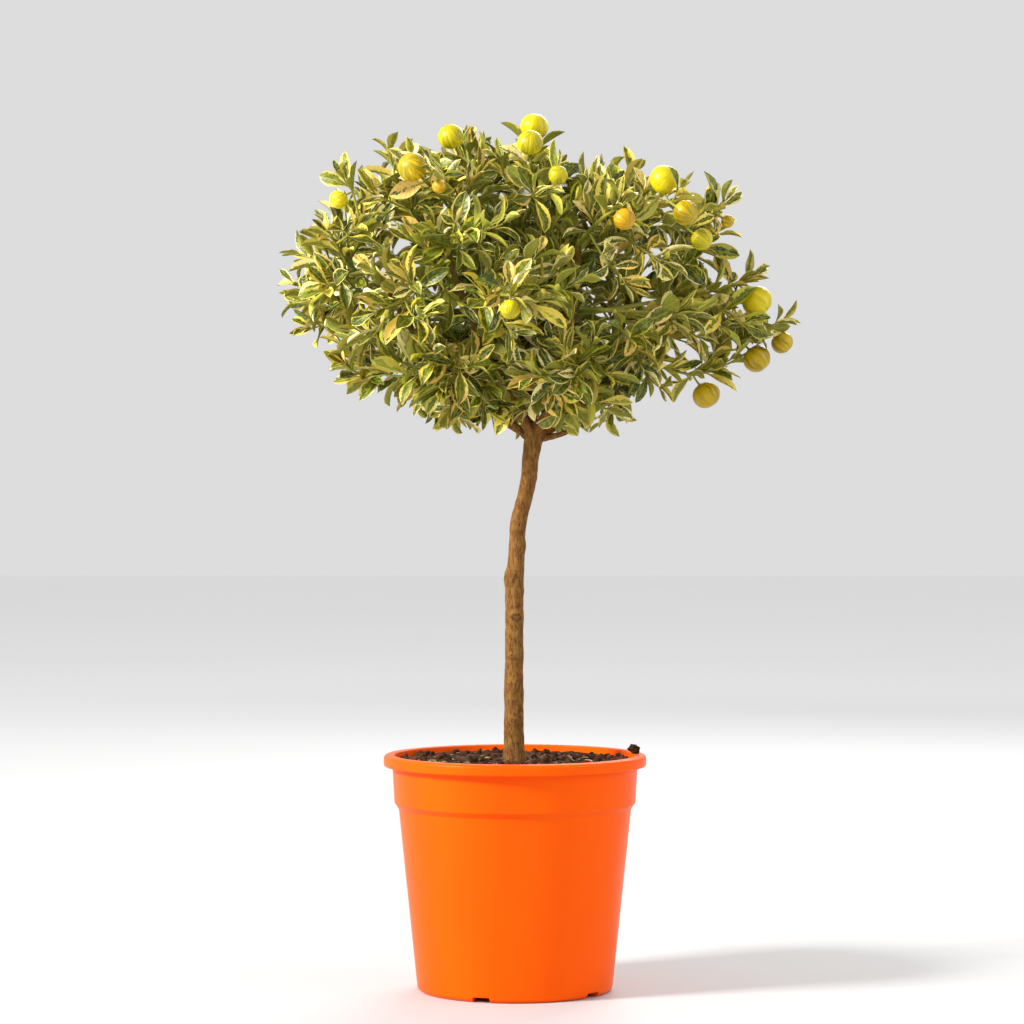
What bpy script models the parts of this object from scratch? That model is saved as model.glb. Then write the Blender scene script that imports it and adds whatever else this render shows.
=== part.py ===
"""Calamondin grown as a small standard tree in a round plastic nursery pot.

Metres, +Z up. The origin is the middle of the pot's underside and the front is towards -Y.
An azimuth is counted from the front (0) round by the right, +X (90), and the back (180).
"""

import math
import random

import bmesh
import bpy
from mathutils import Matrix, Vector, noise
from mathutils.bvhtree import BVHTree

GAP = 0.0004  # left between pieces that touch
SEED = 11

# Pot: a moulded shell with a rolled lip, a collar, a step and a tapered body.
POT_HEIGHT = 0.197
RIM_RADIUS = 0.110
WALL = 0.0018
LIP_HEIGHT = 0.0095
LIP_ROUND = 0.0038
LIP_OVERHANG = 0.0073
COLLAR_DRAFT = 0.0017
COLLAR_DROP = 0.040
STEP_HEIGHT = 0.005
STEP_INSET = 0.0054  # of the body's top from the collar's top
BODY_TAPER = 0.0153  # how much less the radius is at the foot
FOOT_ROUND = 0.004
FOOT_RING_WIDTH = 0.005
FOOT_RECESS = 0.005
PAD_RADIUS = 0.018
NOTCH_COUNT = 5
NOTCH_WIDTH = 0.015
NOTCH_HEIGHT = 0.0044
NOTCH_AZIMUTH = -20.0
DRAIN_RADIUS = 0.005
DRAIN_SHARE = 0.70  # of the foot's radius, where the holes stand
POT_SIDES = 40

# Potting mix
MIX_DROP = 0.0070  # from the rim down to the mean surface of the mix
MIX_LUMP = 0.0018
MIX_LUMP_SPACING = 0.011
MIX_RINGS = 5
ROOT_DEPTH = 0.048
CLOD_RADIUS = 0.0058
LITTER_LENGTH = 0.015
LITTER_WIDTH = 0.0045
LITTER_THICKNESS = 0.0007
LITTER_PLACES = ((248.0, 0.024), (62.0, 0.030), (78.0, 0.046))  # azimuth, distance

# Stem: the bare height from the rim to the fork, then how it wanders and swells on the way.
STEM_HEIGHT = 0.264
STEM_RADIUS = 0.0075
STEM_WANDER = (  # share of the bare height, sideways, depth, share of the stem's radius
    (0.00, 0.0000, 0.0000, 1.25),
    (0.05, -0.0006, 0.0000, 1.12),
    (0.13, -0.0010, 0.0005, 1.02),
    (0.26, -0.0008, 0.0016, 1.00),
    (0.48, -0.0006, 0.0022, 0.97),
    (0.57, -0.0002, 0.0016, 0.98),
    (0.66, 0.0016, 0.0004, 0.84),
    (0.74, 0.0028, -0.0008, 0.84),
    (0.81, 0.0074, -0.0014, 0.82),
    (0.87, 0.0112, -0.0012, 0.80),
    (0.94, 0.0130, -0.0006, 0.80),
    (1.00, 0.0155, 0.0000, 0.98),
)
STEM_POINTS = 22

# Limbs that leave the fork: azimuth, elevation and share of the way to the crown's outside.
LIMBS = (
    (92.0, 24.0, 0.55),
    (268.0, 27.0, 0.55),
    (32.0, 42.0, 0.55),
    (148.0, 38.0, 0.55),
    (212.0, 44.0, 0.55),
    (325.0, 40.0, 0.55),
    (290.0, 84.0, 0.62),
)
LIMB_RADIUS = 0.0041
LIMB_TIP_RADIUS = 0.0024
LIMB_POINTS = 7

# Crown: its outline from the front, every 15 degrees from +X over the top, in shares of
# the crown's radius. Towards the front and the back it reaches CROWN_DEPTH.
CROWN_RADIUS = 0.200
CROWN_DEPTH = 0.186
CROWN_LIFT = 0.129  # from the fork up to its middle
CROWN_OUTLINE = (
    *(0.87, 0.98, 0.88, 0.73, 0.65, 0.64, 0.62, 0.67, 0.73, 0.86, 0.91, 0.95),
    *(1.00, 0.94, 0.83, 0.63, 0.71, 0.65, 0.61, 0.61, 0.69, 0.74, 0.83, 0.90),
)

# Boughs: rows of (elevation, number, first azimuth), and single ones that carry fruit, as
# (azimuth, elevation, share of the crown's reach).
BOUGH_ROWS = (
    (-33.0, 6, 25.0),
    (-10.0, 7, 8.0),
    (14.0, 7, 34.0),
    (42.0, 5, 80.0),
    (70.0, 2, 100.0),
)
FRUITING_BOUGHS = (
    (84.0, -10.0, 1.16),
    (50.0, 24.0, 0.92),
    (74.0, 22.0, 0.95),
    (346.0, 40.0, 0.92),
)
BOUGH_RADIUS = 0.0021
BOUGH_TIP_RADIUS = 0.0011
BOUGH_SIDES = 4
BOUGH_RINGS = 9
BOUGH_STEPS = 300  # points on a bough's line, close enough to start it just clear of its limb
BOUGH_ROOT_SPACING = 0.011
ROOT_TRIES = 5
BOUGH_BENDS = (  # sag and sway in shares of the span, the first that fits is taken
    *((0.10, 0.0), (0.02, 0.0), (0.18, 0.0), (0.10, 0.12), (0.10, -0.12), (-0.08, 0.0)),
    *((0.26, 0.0), (0.0, 0.22), (0.0, -0.22), (-0.16, 0.1), (-0.16, -0.1), (0.34, 0.0)),
)
BOUGH_REACH = 0.89  # of the crown's reach; the leaves go on from there
SPUR_RADIUS = 0.0008
SPUR_TRIES = 24
SPUR_BULGES = (0.12, 0.3, 0.0, 0.5)  # how far it bends out, in shares of its length

# Leaves
LEAF_LENGTH = 0.036
LEAF_WIDTH = 0.015
LEAF_THICKNESS = 0.0009
PETIOLE_WIDTH = 0.0015
LEAVES_PER_BOUGH = 15
LEAF_TURN = math.radians(137.5)
LEAF_TRIES = 7
LEAF_ROLL = math.radians(55.0)

# Fruit: its middle from the crown's middle (sideways, depth, up) in shares of the crown's
# radius, then its diameter. The last five are on the far side.
FRUITS = (
    (-0.41, -0.69, 0.43, 0.0235),
    (-0.26, -0.50, 0.57, 0.0210),
    (-0.30, -0.82, 0.34, 0.0110),
    (-0.71, -0.57, 0.31, 0.0150),
    (-0.02, -0.96, -0.15, 0.0160),
    (0.08, -0.12, 0.65, 0.0235),
    (0.06, -0.55, 0.54, 0.0210),
    (0.17, -0.77, 0.39, 0.0155),
    (0.43, -0.85, 0.21, 0.0175),
    (0.60, -0.56, 0.39, 0.0240),
    (0.68, -0.66, 0.25, 0.0205),
    (0.75, -0.58, 0.15, 0.0180),
    (0.86, -0.47, 0.23, 0.0110),
    (1.01, -0.05, -0.07, 0.0260),
    (1.12, 0.02, -0.24, 0.0190),
    (1.01, -0.04, -0.31, 0.0235),
    (0.80, -0.02, -0.46, 0.0235),
    (0.46, 0.68, 0.32, 0.0225),
    (-0.10, 0.93, 0.06, 0.0210),
    (-0.52, 0.55, 0.42, 0.0235),
    (-0.86, 0.32, -0.08, 0.0215),
    (0.12, 0.45, 0.58, 0.0190),
)
FRUIT_SQUASH = 0.93  # height over diameter
FRUIT_SIDES = 10
STALK_RADIUS = 0.0010
STALK_LENGTH = 0.007
STALK_LIFT = 0.8  # how far a stalk turns up from the way in, below the crown's shoulders
SHOULDER = 0.35  # height of the shoulders in shares of the crown's radius
FRUIT_PULL = 0.055  # a bough's tip this near a fruit goes to its stalk instead

COLLAR_RADIUS = RIM_RADIUS - LIP_OVERHANG
BODY_RADIUS = COLLAR_RADIUS - STEP_INSET
FOOT_RADIUS = BODY_RADIUS - BODY_TAPER
FLOOR_TOP = FOOT_RECESS + WALL
STEP_TOP = POT_HEIGHT - COLLAR_DROP
STEP_BOTTOM = STEP_TOP - STEP_HEIGHT
MIX_TOP = POT_HEIGHT - MIX_DROP
FOOT_OF_STEM = MIX_TOP - ROOT_DEPTH
FORK_HEIGHT = POT_HEIGHT + STEM_HEIGHT
CROWN_HEIGHT = FORK_HEIGHT + CROWN_LIFT


def heading(azimuth, elevation):
    """Unit direction for an azimuth and an elevation in degrees."""
    turn, rise = math.radians(azimuth), math.radians(elevation)
    flat = math.cos(rise)
    return Vector((math.sin(turn) * flat, -math.cos(turn) * flat, math.sin(rise)))


def crown_middle():
    return Vector((0.0, 0.0, CROWN_HEIGHT))


def crown_reach(direction):
    """Distance from the crown's middle to its outside along a unit direction."""
    step = math.tau / len(CROWN_OUTLINE)
    place = (math.atan2(direction.z, direction.x) % math.tau) / step
    low = int(place) % len(CROWN_OUTLINE)
    high = (low + 1) % len(CROWN_OUTLINE)
    share = CROWN_OUTLINE[low] + (CROWN_OUTLINE[high] - CROWN_OUTLINE[low]) * (place % 1)
    across = math.hypot(direction.x, direction.z) / (share * CROWN_RADIUS)
    along = direction.y / CROWN_DEPTH
    return 1 / math.hypot(across, along)


def crown_point(azimuth, elevation, share):
    direction = heading(azimuth, elevation)
    return crown_middle() + direction * crown_reach(direction) * share


def material(name, colour, roughness):
    made = bpy.data.materials.get(name)
    if made is None:
        made = bpy.data.materials.new(name)
        made.use_nodes = True
        shader = made.node_tree.nodes["Principled BSDF"]
        shader.inputs["Base Color"].default_value = (*colour, 1.0)
        shader.inputs["Roughness"].default_value = roughness
        shader.inputs["Metallic"].default_value = 0.0
    return made


def orange_plastic():
    return material("orange_plastic", (0.95, 0.14, 0.005), 0.38)


def dark_mix():
    return material("dark_mix", (0.035, 0.018, 0.010), 0.95)


def bark():
    return material("bark", (0.24, 0.12, 0.045), 0.85)


def foliage():
    return material("foliage", (0.24, 0.28, 0.05), 0.45)


def rind():
    return material("rind", (0.72, 0.58, 0.02), 0.35)


def dry_leaf():
    return material("dry_leaf", (0.55, 0.42, 0.18), 0.80)


def collection(name):
    made = bpy.data.collections.new(name)
    bpy.context.scene.collection.children.link(made)
    return made


def place_object(name, mesh, stuff, group):
    obj = bpy.data.objects.new(name, mesh)
    mesh.materials.append(stuff)
    group.objects.link(obj)
    return obj


def mesh_of(bm, name):
    """Writes a bmesh out as a smooth-shaded mesh with its sharp edges kept."""
    bmesh.ops.recalc_face_normals(bm, faces=bm.faces)
    mesh = bpy.data.meshes.new(name)
    bm.to_mesh(mesh)
    bm.free()
    mesh.shade_smooth()
    mesh.set_sharp_from_angle(angle=math.radians(40))
    return mesh


def tree_of(obj):
    """The triangles of an object in world space, for clearance tests."""
    bm = bmesh.new()
    bm.from_object(obj, bpy.context.evaluated_depsgraph_get())
    bm.transform(obj.matrix_world)
    tree = BVHTree.FromBMesh(bm)
    bm.free()
    return tree


def arc(centre, radius, start, end, steps):
    """Points on an arc in the (radius, height) plane, from start to end in degrees."""
    points = []
    for i in range(steps + 1):
        turn = math.radians(start + (end - start) * i / steps)
        points.append((centre[0] + radius * math.cos(turn), centre[1] + radius * math.sin(turn)))
    return points


def pot_outside(height):
    """Outer radius of the tapered body at a height under the step."""
    return FOOT_RADIUS + (BODY_RADIUS - FOOT_RADIUS) * height / STEP_BOTTOM


def pot_inside():
    """Inner wall of the pot as (radius, height), from the floor up to the rim."""
    return [
        (pot_outside(FLOOR_TOP) - WALL, FLOOR_TOP),
        (BODY_RADIUS - WALL, STEP_BOTTOM),
        (COLLAR_RADIUS - COLLAR_DRAFT - WALL, STEP_TOP),
        (COLLAR_RADIUS - WALL, POT_HEIGHT - WALL),
    ]


def pot_profile():
    """Section of the pot, from the middle of its floor over the rim to its underside."""
    lip_bottom = POT_HEIGHT - LIP_HEIGHT
    lip_low = (RIM_RADIUS - LIP_ROUND, lip_bottom + LIP_ROUND)
    lip_high = (RIM_RADIUS - LIP_ROUND, POT_HEIGHT - LIP_ROUND)
    foot = (FOOT_RADIUS - FOOT_ROUND, FOOT_ROUND)
    ring_inside = FOOT_RADIUS - FOOT_ROUND - FOOT_RING_WIDTH
    return [
        (0.0, FLOOR_TOP),
        *pot_inside(),
        (COLLAR_RADIUS, POT_HEIGHT),
        *arc(lip_high, LIP_ROUND, 90, 0, 3),
        *arc(lip_low, LIP_ROUND, 0, -90, 3),
        (COLLAR_RADIUS, lip_bottom),
        (COLLAR_RADIUS - COLLAR_DRAFT, STEP_TOP),
        (BODY_RADIUS, STEP_BOTTOM),
        *arc(foot, FOOT_ROUND, 0, -90, 3),
        (ring_inside, 0.0),
        (ring_inside, FOOT_RECESS),
        (PAD_RADIUS, FOOT_RECESS),
        (PAD_RADIUS, 0.0),
        (0.0, 0.0),
    ]


def turned_mesh(name, profile, sides):
    """A section spun round the Z axis into a closed mesh."""
    bm = bmesh.new()
    points = [bm.verts.new((radius, 0.0, height)) for radius, height in profile]
    edges = [bm.edges.new(pair) for pair in zip(points, points[1:])]
    bmesh.ops.spin(
        bm,
        geom=points + edges,
        cent=(0.0, 0.0, 0.0),
        axis=(0.0, 0.0, 1.0),
        angle=math.tau,
        steps=sides,
        use_merge=True,
    )
    bmesh.ops.remove_doubles(bm, verts=bm.verts, dist=0.00005)
    bmesh.ops.recalc_face_normals(bm, faces=bm.faces)
    return bm


def cutter(name, mesh, group):
    obj = bpy.data.objects.new(name, mesh)
    group.objects.link(obj)
    obj.hide_render = True
    obj.display_type = "WIRE"
    return obj


def cut(obj, tool):
    modifier = obj.modifiers.new(tool.name, "BOOLEAN")
    modifier.operation = "DIFFERENCE"
    modifier.object = tool


def notch_cutter(azimuth, index, group):
    """A box through the foot ring, which lets water out from under the floor."""
    bm = bmesh.new()
    bmesh.ops.create_cube(bm, size=1.0)
    depth = FOOT_ROUND + FOOT_RING_WIDTH
    bmesh.ops.scale(bm, vec=(NOTCH_WIDTH, 2 * depth, 2 * NOTCH_HEIGHT), verts=bm.verts)
    bmesh.ops.translate(bm, vec=(0.0, -FOOT_RADIUS + 0.2 * depth, 0.0), verts=bm.verts)
    turn = Matrix.Rotation(math.radians(azimuth), 3, "Z")
    bmesh.ops.rotate(bm, cent=(0.0, 0.0, 0.0), matrix=turn, verts=bm.verts)
    return cutter(f"notch_{index}", mesh_of(bm, "notch"), group)


def drain_cutter(azimuth, index, group):
    """A round hole through the floor."""
    bm = bmesh.new()
    bmesh.ops.create_cone(
        bm, cap_ends=True, segments=12, radius1=DRAIN_RADIUS, radius2=DRAIN_RADIUS, depth=4 * FLOOR_TOP
    )
    bmesh.ops.translate(bm, vec=heading(azimuth, 0.0) * DRAIN_SHARE * FOOT_RADIUS, verts=bm.verts)
    return cutter(f"drain_{index}", mesh_of(bm, "drain"), group)


def make_pot(group, cutters):
    mesh = mesh_of(turned_mesh("pot", pot_profile(), POT_SIDES), "pot")
    pot = place_object("pot", mesh, orange_plastic(), group)
    for i in range(NOTCH_COUNT):
        azimuth = NOTCH_AZIMUTH + 360.0 * i / NOTCH_COUNT
        cut(pot, notch_cutter(azimuth, i + 1, cutters))
        cut(pot, drain_cutter(azimuth, i + 1, cutters))
    return pot


def mix_wall():
    """Side of the potting mix as (radius, height), a gap inside the pot, bottom to top."""
    wall = [(radius - GAP, height) for radius, height in pot_inside()]
    wall[0] = (wall[0][0], FLOOR_TOP + GAP)
    (low_radius, low), (high_radius, high) = wall[2], wall[3]
    share = (MIX_TOP - low) / (high - low)
    wall[3] = (low_radius + (high_radius - low_radius) * share, MIX_TOP)
    return wall


def socket_radius():
    """The hole in the mix that the stem's foot stands in."""
    return STEM_RADIUS * STEM_WANDER[0][3] + 2 * GAP


def mix_surface(x, y):
    """Height of the crumbly surface above its mean."""
    place = Vector((x, y, 0.0)) / MIX_LUMP_SPACING
    return MIX_LUMP * noise.noise(place)


def make_potting_mix(group):
    inner, outer = socket_radius(), mix_wall()[-1][0]
    top = [(inner + (outer - inner) * i / MIX_RINGS, MIX_TOP) for i in range(MIX_RINGS)]
    bottom = FOOT_OF_STEM - GAP
    profile = [(0.0, bottom), (inner, bottom), *top, *reversed(mix_wall()), (0.0, FLOOR_TOP + GAP)]
    bm = turned_mesh("potting_mix", profile, POT_SIDES)
    for vert in bm.verts:
        radius = math.hypot(vert.co.x, vert.co.y)
        if vert.co.z > MIX_TOP - GAP and radius > inner + GAP:
            vert.co.z += mix_surface(vert.co.x, vert.co.y)
    return place_object("potting_mix", mesh_of(bm, "potting_mix"), dark_mix(), group)


def smooth_path(points, count):
    """Evenly numbered points on a Catmull-Rom curve through the given vectors."""
    path = []
    for i in range(count):
        place = (len(points) - 1) * i / (count - 1)
        k = min(int(place), len(points) - 2)
        t = place - k
        before = points[max(k - 1, 0)]
        here, after = points[k], points[k + 1]
        beyond = points[min(k + 2, len(points) - 1)]
        path.append(
            0.5
            * (
                2 * here
                + (after - before) * t
                + (2 * before - 5 * here + 4 * after - beyond) * t * t
                + (3 * here - before - 3 * after + beyond) * t * t * t
            )
        )
    return path


def tube_object(name, points, radii, resolution, group):
    """A tapered tube along points, as a closed mesh object."""
    curve = bpy.data.curves.new(name, "CURVE")
    curve.dimensions = "3D"
    curve.bevel_depth = 1.0
    curve.bevel_resolution = resolution
    curve.use_fill_caps = True
    spline = curve.splines.new("POLY")
    spline.points.add(len(points) - 1)
    for control, point, radius in zip(spline.points, points, radii):
        control.co = (*point, 1.0)
        control.radius = radius
    guide = bpy.data.objects.new(name + "_line", curve)
    group.objects.link(guide)
    graph = bpy.context.evaluated_depsgraph_get()
    mesh = bpy.data.meshes.new_from_object(guide.evaluated_get(graph))
    bpy.data.objects.remove(guide)
    bm = bmesh.new()
    bm.from_mesh(mesh)
    bmesh.ops.remove_doubles(bm, verts=bm.verts, dist=0.00002)
    obj = bpy.data.objects.new(name, mesh_of(bm, name))
    group.objects.link(obj)
    return obj


def stem_line():
    """Points and radii of the bare stem, from its foot in the mix to the fork."""
    low = Vector((0.0, 0.0, FOOT_OF_STEM, 0.86 * STEM_RADIUS * STEM_WANDER[0][3]))
    marks = [low]
    for share, x, y, swell in STEM_WANDER:
        height = MIX_TOP + (FORK_HEIGHT - MIX_TOP) * share
        marks.append(Vector((x, y, height, STEM_RADIUS * swell)))
    marks.append(marks[-1] + Vector((0.001, 0.0, 0.012, -0.22 * STEM_RADIUS)))
    path = smooth_path(marks, STEM_POINTS)
    return [point.xyz for point in path], [point.w for point in path]


def limb_line(azimuth, elevation, share):
    """Points of one limb, from inside the fork out into the crown, bending upwards."""
    fork = stem_line()[0][-2]
    start = fork - Vector((0.0, 0.0, 0.004))
    leaving = heading(azimuth, elevation)
    level = heading(azimuth, max(elevation - 26.0, -4.0))
    end = crown_middle() + level * crown_reach(level) * share
    if elevation > 60.0:
        end = crown_middle() + leaving * crown_reach(leaving) * (share - 0.3)
    bend = start + leaving * (end - start).length * 0.5
    line = []
    for i in range(LIMB_POINTS):
        t = i / (LIMB_POINTS - 1)
        line.append(start.lerp(bend, t).lerp(bend.lerp(end, t), t))
    return line


def make_stem(group, cutters):
    """The stem and its limbs, joined into the one piece that they grew as."""
    points, radii = stem_line()
    stem = tube_object("stem_and_limbs", points, radii, 4, group)
    stem.data.materials.append(bark())
    for i, limb in enumerate(LIMBS):
        line = limb_line(*limb)
        taper = [
            LIMB_RADIUS + (LIMB_TIP_RADIUS - LIMB_RADIUS) * k / (LIMB_POINTS - 1)
            for k in range(LIMB_POINTS)
        ]
        tool = tube_object(f"limb_{i + 1}", line, taper, 2, cutters)
        tool.hide_render = True
        tool.display_type = "WIRE"
        modifier = stem.modifiers.new(tool.name, "BOOLEAN")
        modifier.operation = "UNION"
        modifier.object = tool
    return stem


def bough_tips(stalk_ends):
    """Where each bough's wood ends, moved to the stalk of a fruit that is near."""
    tips = []
    for elevation, number, first in BOUGH_ROWS:
        for i in range(number):
            tips.append(crown_point(first + 360.0 * i / number, elevation, BOUGH_REACH))
    tips += [crown_point(*place) for place in FRUITING_BOUGHS]
    moved = set()
    for end in stalk_ends:
        near = min(range(len(tips)), key=lambda i: (tips[i] - end).length)
        if near not in moved and (tips[near] - end).length < FRUIT_PULL:
            tips[near] = end
            moved.add(near)
    return tips


def bough_line(root, tip, sag, sway):
    """Points from root to tip on an arch that hangs by sag and bends sideways by sway."""
    span = tip - root
    across = span.cross(Vector((0.0, 0.0, 1.0))).normalized() * span.length
    middle = root.lerp(tip, 0.5) + across * sway - Vector((0.0, 0.0, sag * span.length))
    line = []
    for i in range(BOUGH_STEPS):
        t = i / (BOUGH_STEPS - 1)
        line.append(root.lerp(middle, t).lerp(middle.lerp(tip, t), t))
    return line


def frames_along(line, radii):
    """A matrix for each point, with Z along the line and X, Y scaled to the radius."""
    frames = []
    side = (line[1] - line[0]).orthogonal().normalized()
    for i, point in enumerate(line):
        ahead = (line[min(i + 1, len(line) - 1)] - line[max(i - 1, 0)]).normalized()
        side = (side - ahead * side.dot(ahead)).normalized()
        other = ahead.cross(side)
        rows = Matrix((side * radii[i], other * radii[i], ahead)).transposed().to_4x4()
        frames.append(Matrix.Translation(point) @ rows)
    return frames


def ring_is_clear(frame, trees):
    """Whether a bough's end at this frame stands outside the given pieces by the gap."""
    for i in range(BOUGH_SIDES):
        turn = math.tau * i / BOUGH_SIDES
        corner = frame @ Vector((math.cos(turn), math.sin(turn), 0.0))
        for tree in trees:
            near, normal, _, distance = tree.find_nearest(corner)
            if near is not None and (distance < GAP or (corner - near).dot(normal) < 0):
                return False
    return True


def resampled(line, count):
    lengths = [0.0]
    for a, b in zip(line, line[1:]):
        lengths.append(lengths[-1] + (b - a).length)
    made, k = [], 0
    for i in range(count):
        at = lengths[-1] * i / (count - 1)
        while k < len(line) - 2 and lengths[k + 1] < at:
            k += 1
        made.append(line[k].lerp(line[k + 1], (at - lengths[k]) / (lengths[k + 1] - lengths[k])))
    return made


class Bough:
    """One leafy bough: wood extruded ring by ring, with spurs and leaves grown from it."""

    def __init__(self, name, line):
        self.name = name
        self.line = line
        self.trees = []
        self.bm = bmesh.new()
        self.segments = []
        taper = (BOUGH_TIP_RADIUS - BOUGH_RADIUS) / (len(line) - 1)
        frames = frames_along(line, [BOUGH_RADIUS + taper * i for i in range(len(line))])
        made = bmesh.ops.create_circle(self.bm, cap_ends=True, segments=BOUGH_SIDES, radius=1.0)
        bmesh.ops.transform(self.bm, matrix=frames[0], verts=made["verts"])
        cap = next(iter(self.bm.faces))
        for before, after in zip(frames, frames[1:]):
            cap = self.extrude(cap)
            bmesh.ops.transform(self.bm, matrix=after @ before.inverted(), verts=cap.verts)
            self.segments.append([f for e in cap.edges for f in e.link_faces if f is not cap])
        self.cap = cap
        bmesh.ops.holes_fill(self.bm, edges=self.bm.edges, sides=BOUGH_SIDES)
        bmesh.ops.recalc_face_normals(self.bm, faces=self.bm.faces)
        self.used = set()

    def extrude(self, face):
        return bmesh.ops.extrude_discrete_faces(self.bm, faces=[face])["faces"][0]

    def wall_towards(self, segment, direction):
        """The free wall of a segment that faces a direction best, or None."""
        free = [f for f in self.segments[segment] if f.is_valid and f not in self.used]
        return max(free, key=lambda f: f.normal.dot(direction), default=None)

    def grow(self, face, sections, tip):
        """Grows a wall outwards through four-cornered sections, to a point if tip is given."""
        self.used.add(face)
        bmesh.ops.inset_individual(self.bm, faces=[face], thickness=0.0002)
        for number, corners in enumerate(sections):
            if number:
                face = self.extrude(face)
            ring = [loop.vert for loop in face.loops]
            best = min(range(4), key=lambda k: twist(ring, corners, k))
            for i, vert in enumerate(ring):
                vert.co = corners[(i + best) % 4]
        if tip is not None:
            face = self.extrude(face)
            bmesh.ops.pointmerge(self.bm, verts=list(face.verts), merge_co=tip)

    def finish(self, group):
        return place_object(self.name, mesh_of(self.bm, self.name), foliage(), group)


def twist(ring, corners, shift):
    """How far a ring's corners are from a section's, with the section shifted round."""
    middle = sum((v.co for v in ring), Vector()) / 4
    centre = sum(corners, Vector()) / 4
    total = 0.0
    for i, vert in enumerate(ring):
        here = (vert.co - middle).normalized()
        there = (corners[(i + shift) % 4] - centre).normalized()
        total -= here.dot(there)
    return total


def rectangle(centre, along, across, width, thickness):
    """Corners of a section, anticlockwise as seen from in front of it."""
    up = along.cross(across).normalized()
    a, b = across * width / 2, up * thickness / 2
    return [centre - a - b, centre + a - b, centre + a + b, centre - a + b]


def leaf_shape(base, along, across, size, grown=0.0):
    """Sections and tip of a leaf that arches over; grown widens it for clearance tests."""
    up = along.cross(across).normalized()
    length, width = LEAF_LENGTH * size, LEAF_WIDTH * size
    points = [
        (base - along * 0.0006, PETIOLE_WIDTH, 1.6 * LEAF_THICKNESS),
        (base + along * length * 0.38 + up * length * 0.05, width, LEAF_THICKNESS),
        (base + along * length * 0.72 + up * length * 0.03, width * 0.82, LEAF_THICKNESS),
    ]
    sections = [
        rectangle(centre, along, across, wide + grown, deep + grown)
        for centre, wide, deep in points
    ]
    return sections, base + along * length * 0.98 - up * length * 0.02


def shell_tree(sections, tip):
    """A BVH of a grown shape before it is built, for testing whether it fits."""
    points = [corner for section in sections for corner in section] + [tip]
    faces = [(0, 1, 2, 3)]
    for k in range(len(sections) - 1):
        for i in range(4):
            j = (i + 1) % 4
            faces.append((4 * k + i, 4 * k + j, 4 * k + 4 + j, 4 * k + 4 + i))
    last = 4 * (len(sections) - 1)
    faces += [(last + i, last + (i + 1) % 4, len(points) - 1) for i in range(4)]
    return BVHTree.FromPolygons(points, faces)


def line_tree(line, radius):
    """A BVH of a thin square tube round a line, a gap wider than the wood."""
    wide = 2 * (radius + GAP)
    sections = []
    for i, point in enumerate(line):
        ahead = (line[min(i + 1, len(line) - 1)] - line[max(i - 1, 0)]).normalized()
        across = ahead.orthogonal().normalized()
        if sections and across.dot(last_across) < 0:
            across.negate()
        last_across = across
        sections.append(rectangle(point, ahead, across, wide, wide))
    return shell_tree(sections, line[-1] + (line[-1] - line[-2]).normalized() * GAP)


def fits(tree, others):
    return not any(tree.overlap(other) for other in others)


def clear_line(root, tip, bend, stem_tree, taken):
    """A bough's line that starts just clear of the stem and its test shape, if it fits."""
    line = bough_line(root, tip, *bend)
    frames = frames_along(line, [BOUGH_RADIUS] * len(line))
    start = next((k for k, f in enumerate(frames) if ring_is_clear(f, [stem_tree])), len(line))
    if start > len(line) // 2:
        return None
    line = resampled(line[start:], BOUGH_RINGS + 1)
    tree = line_tree(line, BOUGH_RADIUS)
    return (line, tree) if fits(tree, taken) else None


def make_boughs(tips, stem_tree, fruit_trees):
    """Every bough's wood, from the nearest place on a limb and with the first bend that fit."""
    places = [p for limb in LIMBS for p in smooth_path(limb_line(*limb), 30)[9:]]
    boughs, taken, roots = [], [stem_tree, *fruit_trees], []
    for i, tip in enumerate(tips):
        free = [p for p in places if all((p - q).length > BOUGH_ROOT_SPACING for q in roots)]
        near = sorted(free, key=lambda p: (p - tip).length)[: 3 * ROOT_TRIES : 3]
        tries = ((root, bend) for root in near for bend in BOUGH_BENDS)
        found = ((root, clear_line(root, tip, bend, stem_tree, taken)) for root, bend in tries)
        root, fit = next((pair for pair in found if pair[1]), (None, None))
        if fit:
            boughs.append(Bough(f"leafy_bough_{i + 1:02d}", fit[0]))
            taken.append(fit[1])
            roots.append(root)
    return boughs


def fruit_centres():
    places = (Vector(fruit[:3]) * CROWN_RADIUS for fruit in FRUITS)
    return [crown_middle() + place for place in places]


def stalk_direction(centre):
    """The way a fruit's stalk points: inwards, and upwards too below the shoulders."""
    inwards = (crown_middle() - centre).normalized()
    if centre.z < CROWN_HEIGHT + SHOULDER * CROWN_RADIUS:
        inwards.z += STALK_LIFT
    return inwards.normalized()


def fruit_profile(radius):
    """Section of a fruit with its stalk, from the stalk's end down to the far pole."""
    height = radius * FRUIT_SQUASH
    curve = arc((0.0, 0.0), 1.0, 62, -66, 4)
    flesh = [(r * radius, z * height) for r, z in curve]
    return [
        (0.0, height + STALK_LENGTH),
        (STALK_RADIUS, height + STALK_LENGTH),
        (STALK_RADIUS, height * 0.97),
        *flesh,
        (0.0, -height),
    ]


def make_fruit(number, centre, direction, diameter, group):
    bm = turned_mesh("fruit", fruit_profile(diameter / 2), FRUIT_SIDES)
    turn = direction.to_track_quat("Z", "Y").to_matrix().to_4x4()
    bmesh.ops.transform(bm, matrix=Matrix.Translation(centre) @ turn, verts=bm.verts)
    return place_object(f"fruit_{number:02d}", mesh_of(bm, "fruit"), rind(), group)


def spur_places(boughs, stalk_end):
    """Bough segments within reach of a stalk's end, as (bough, segment, middle), nearest first."""
    places = []
    for bough in boughs:
        for segment, (a, b) in enumerate(zip(bough.line, bough.line[1:])):
            places.append((bough, segment, a.lerp(b, 0.5)))
    return sorted(places, key=lambda place: (place[2] - stalk_end).length)[:SPUR_TRIES]


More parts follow.
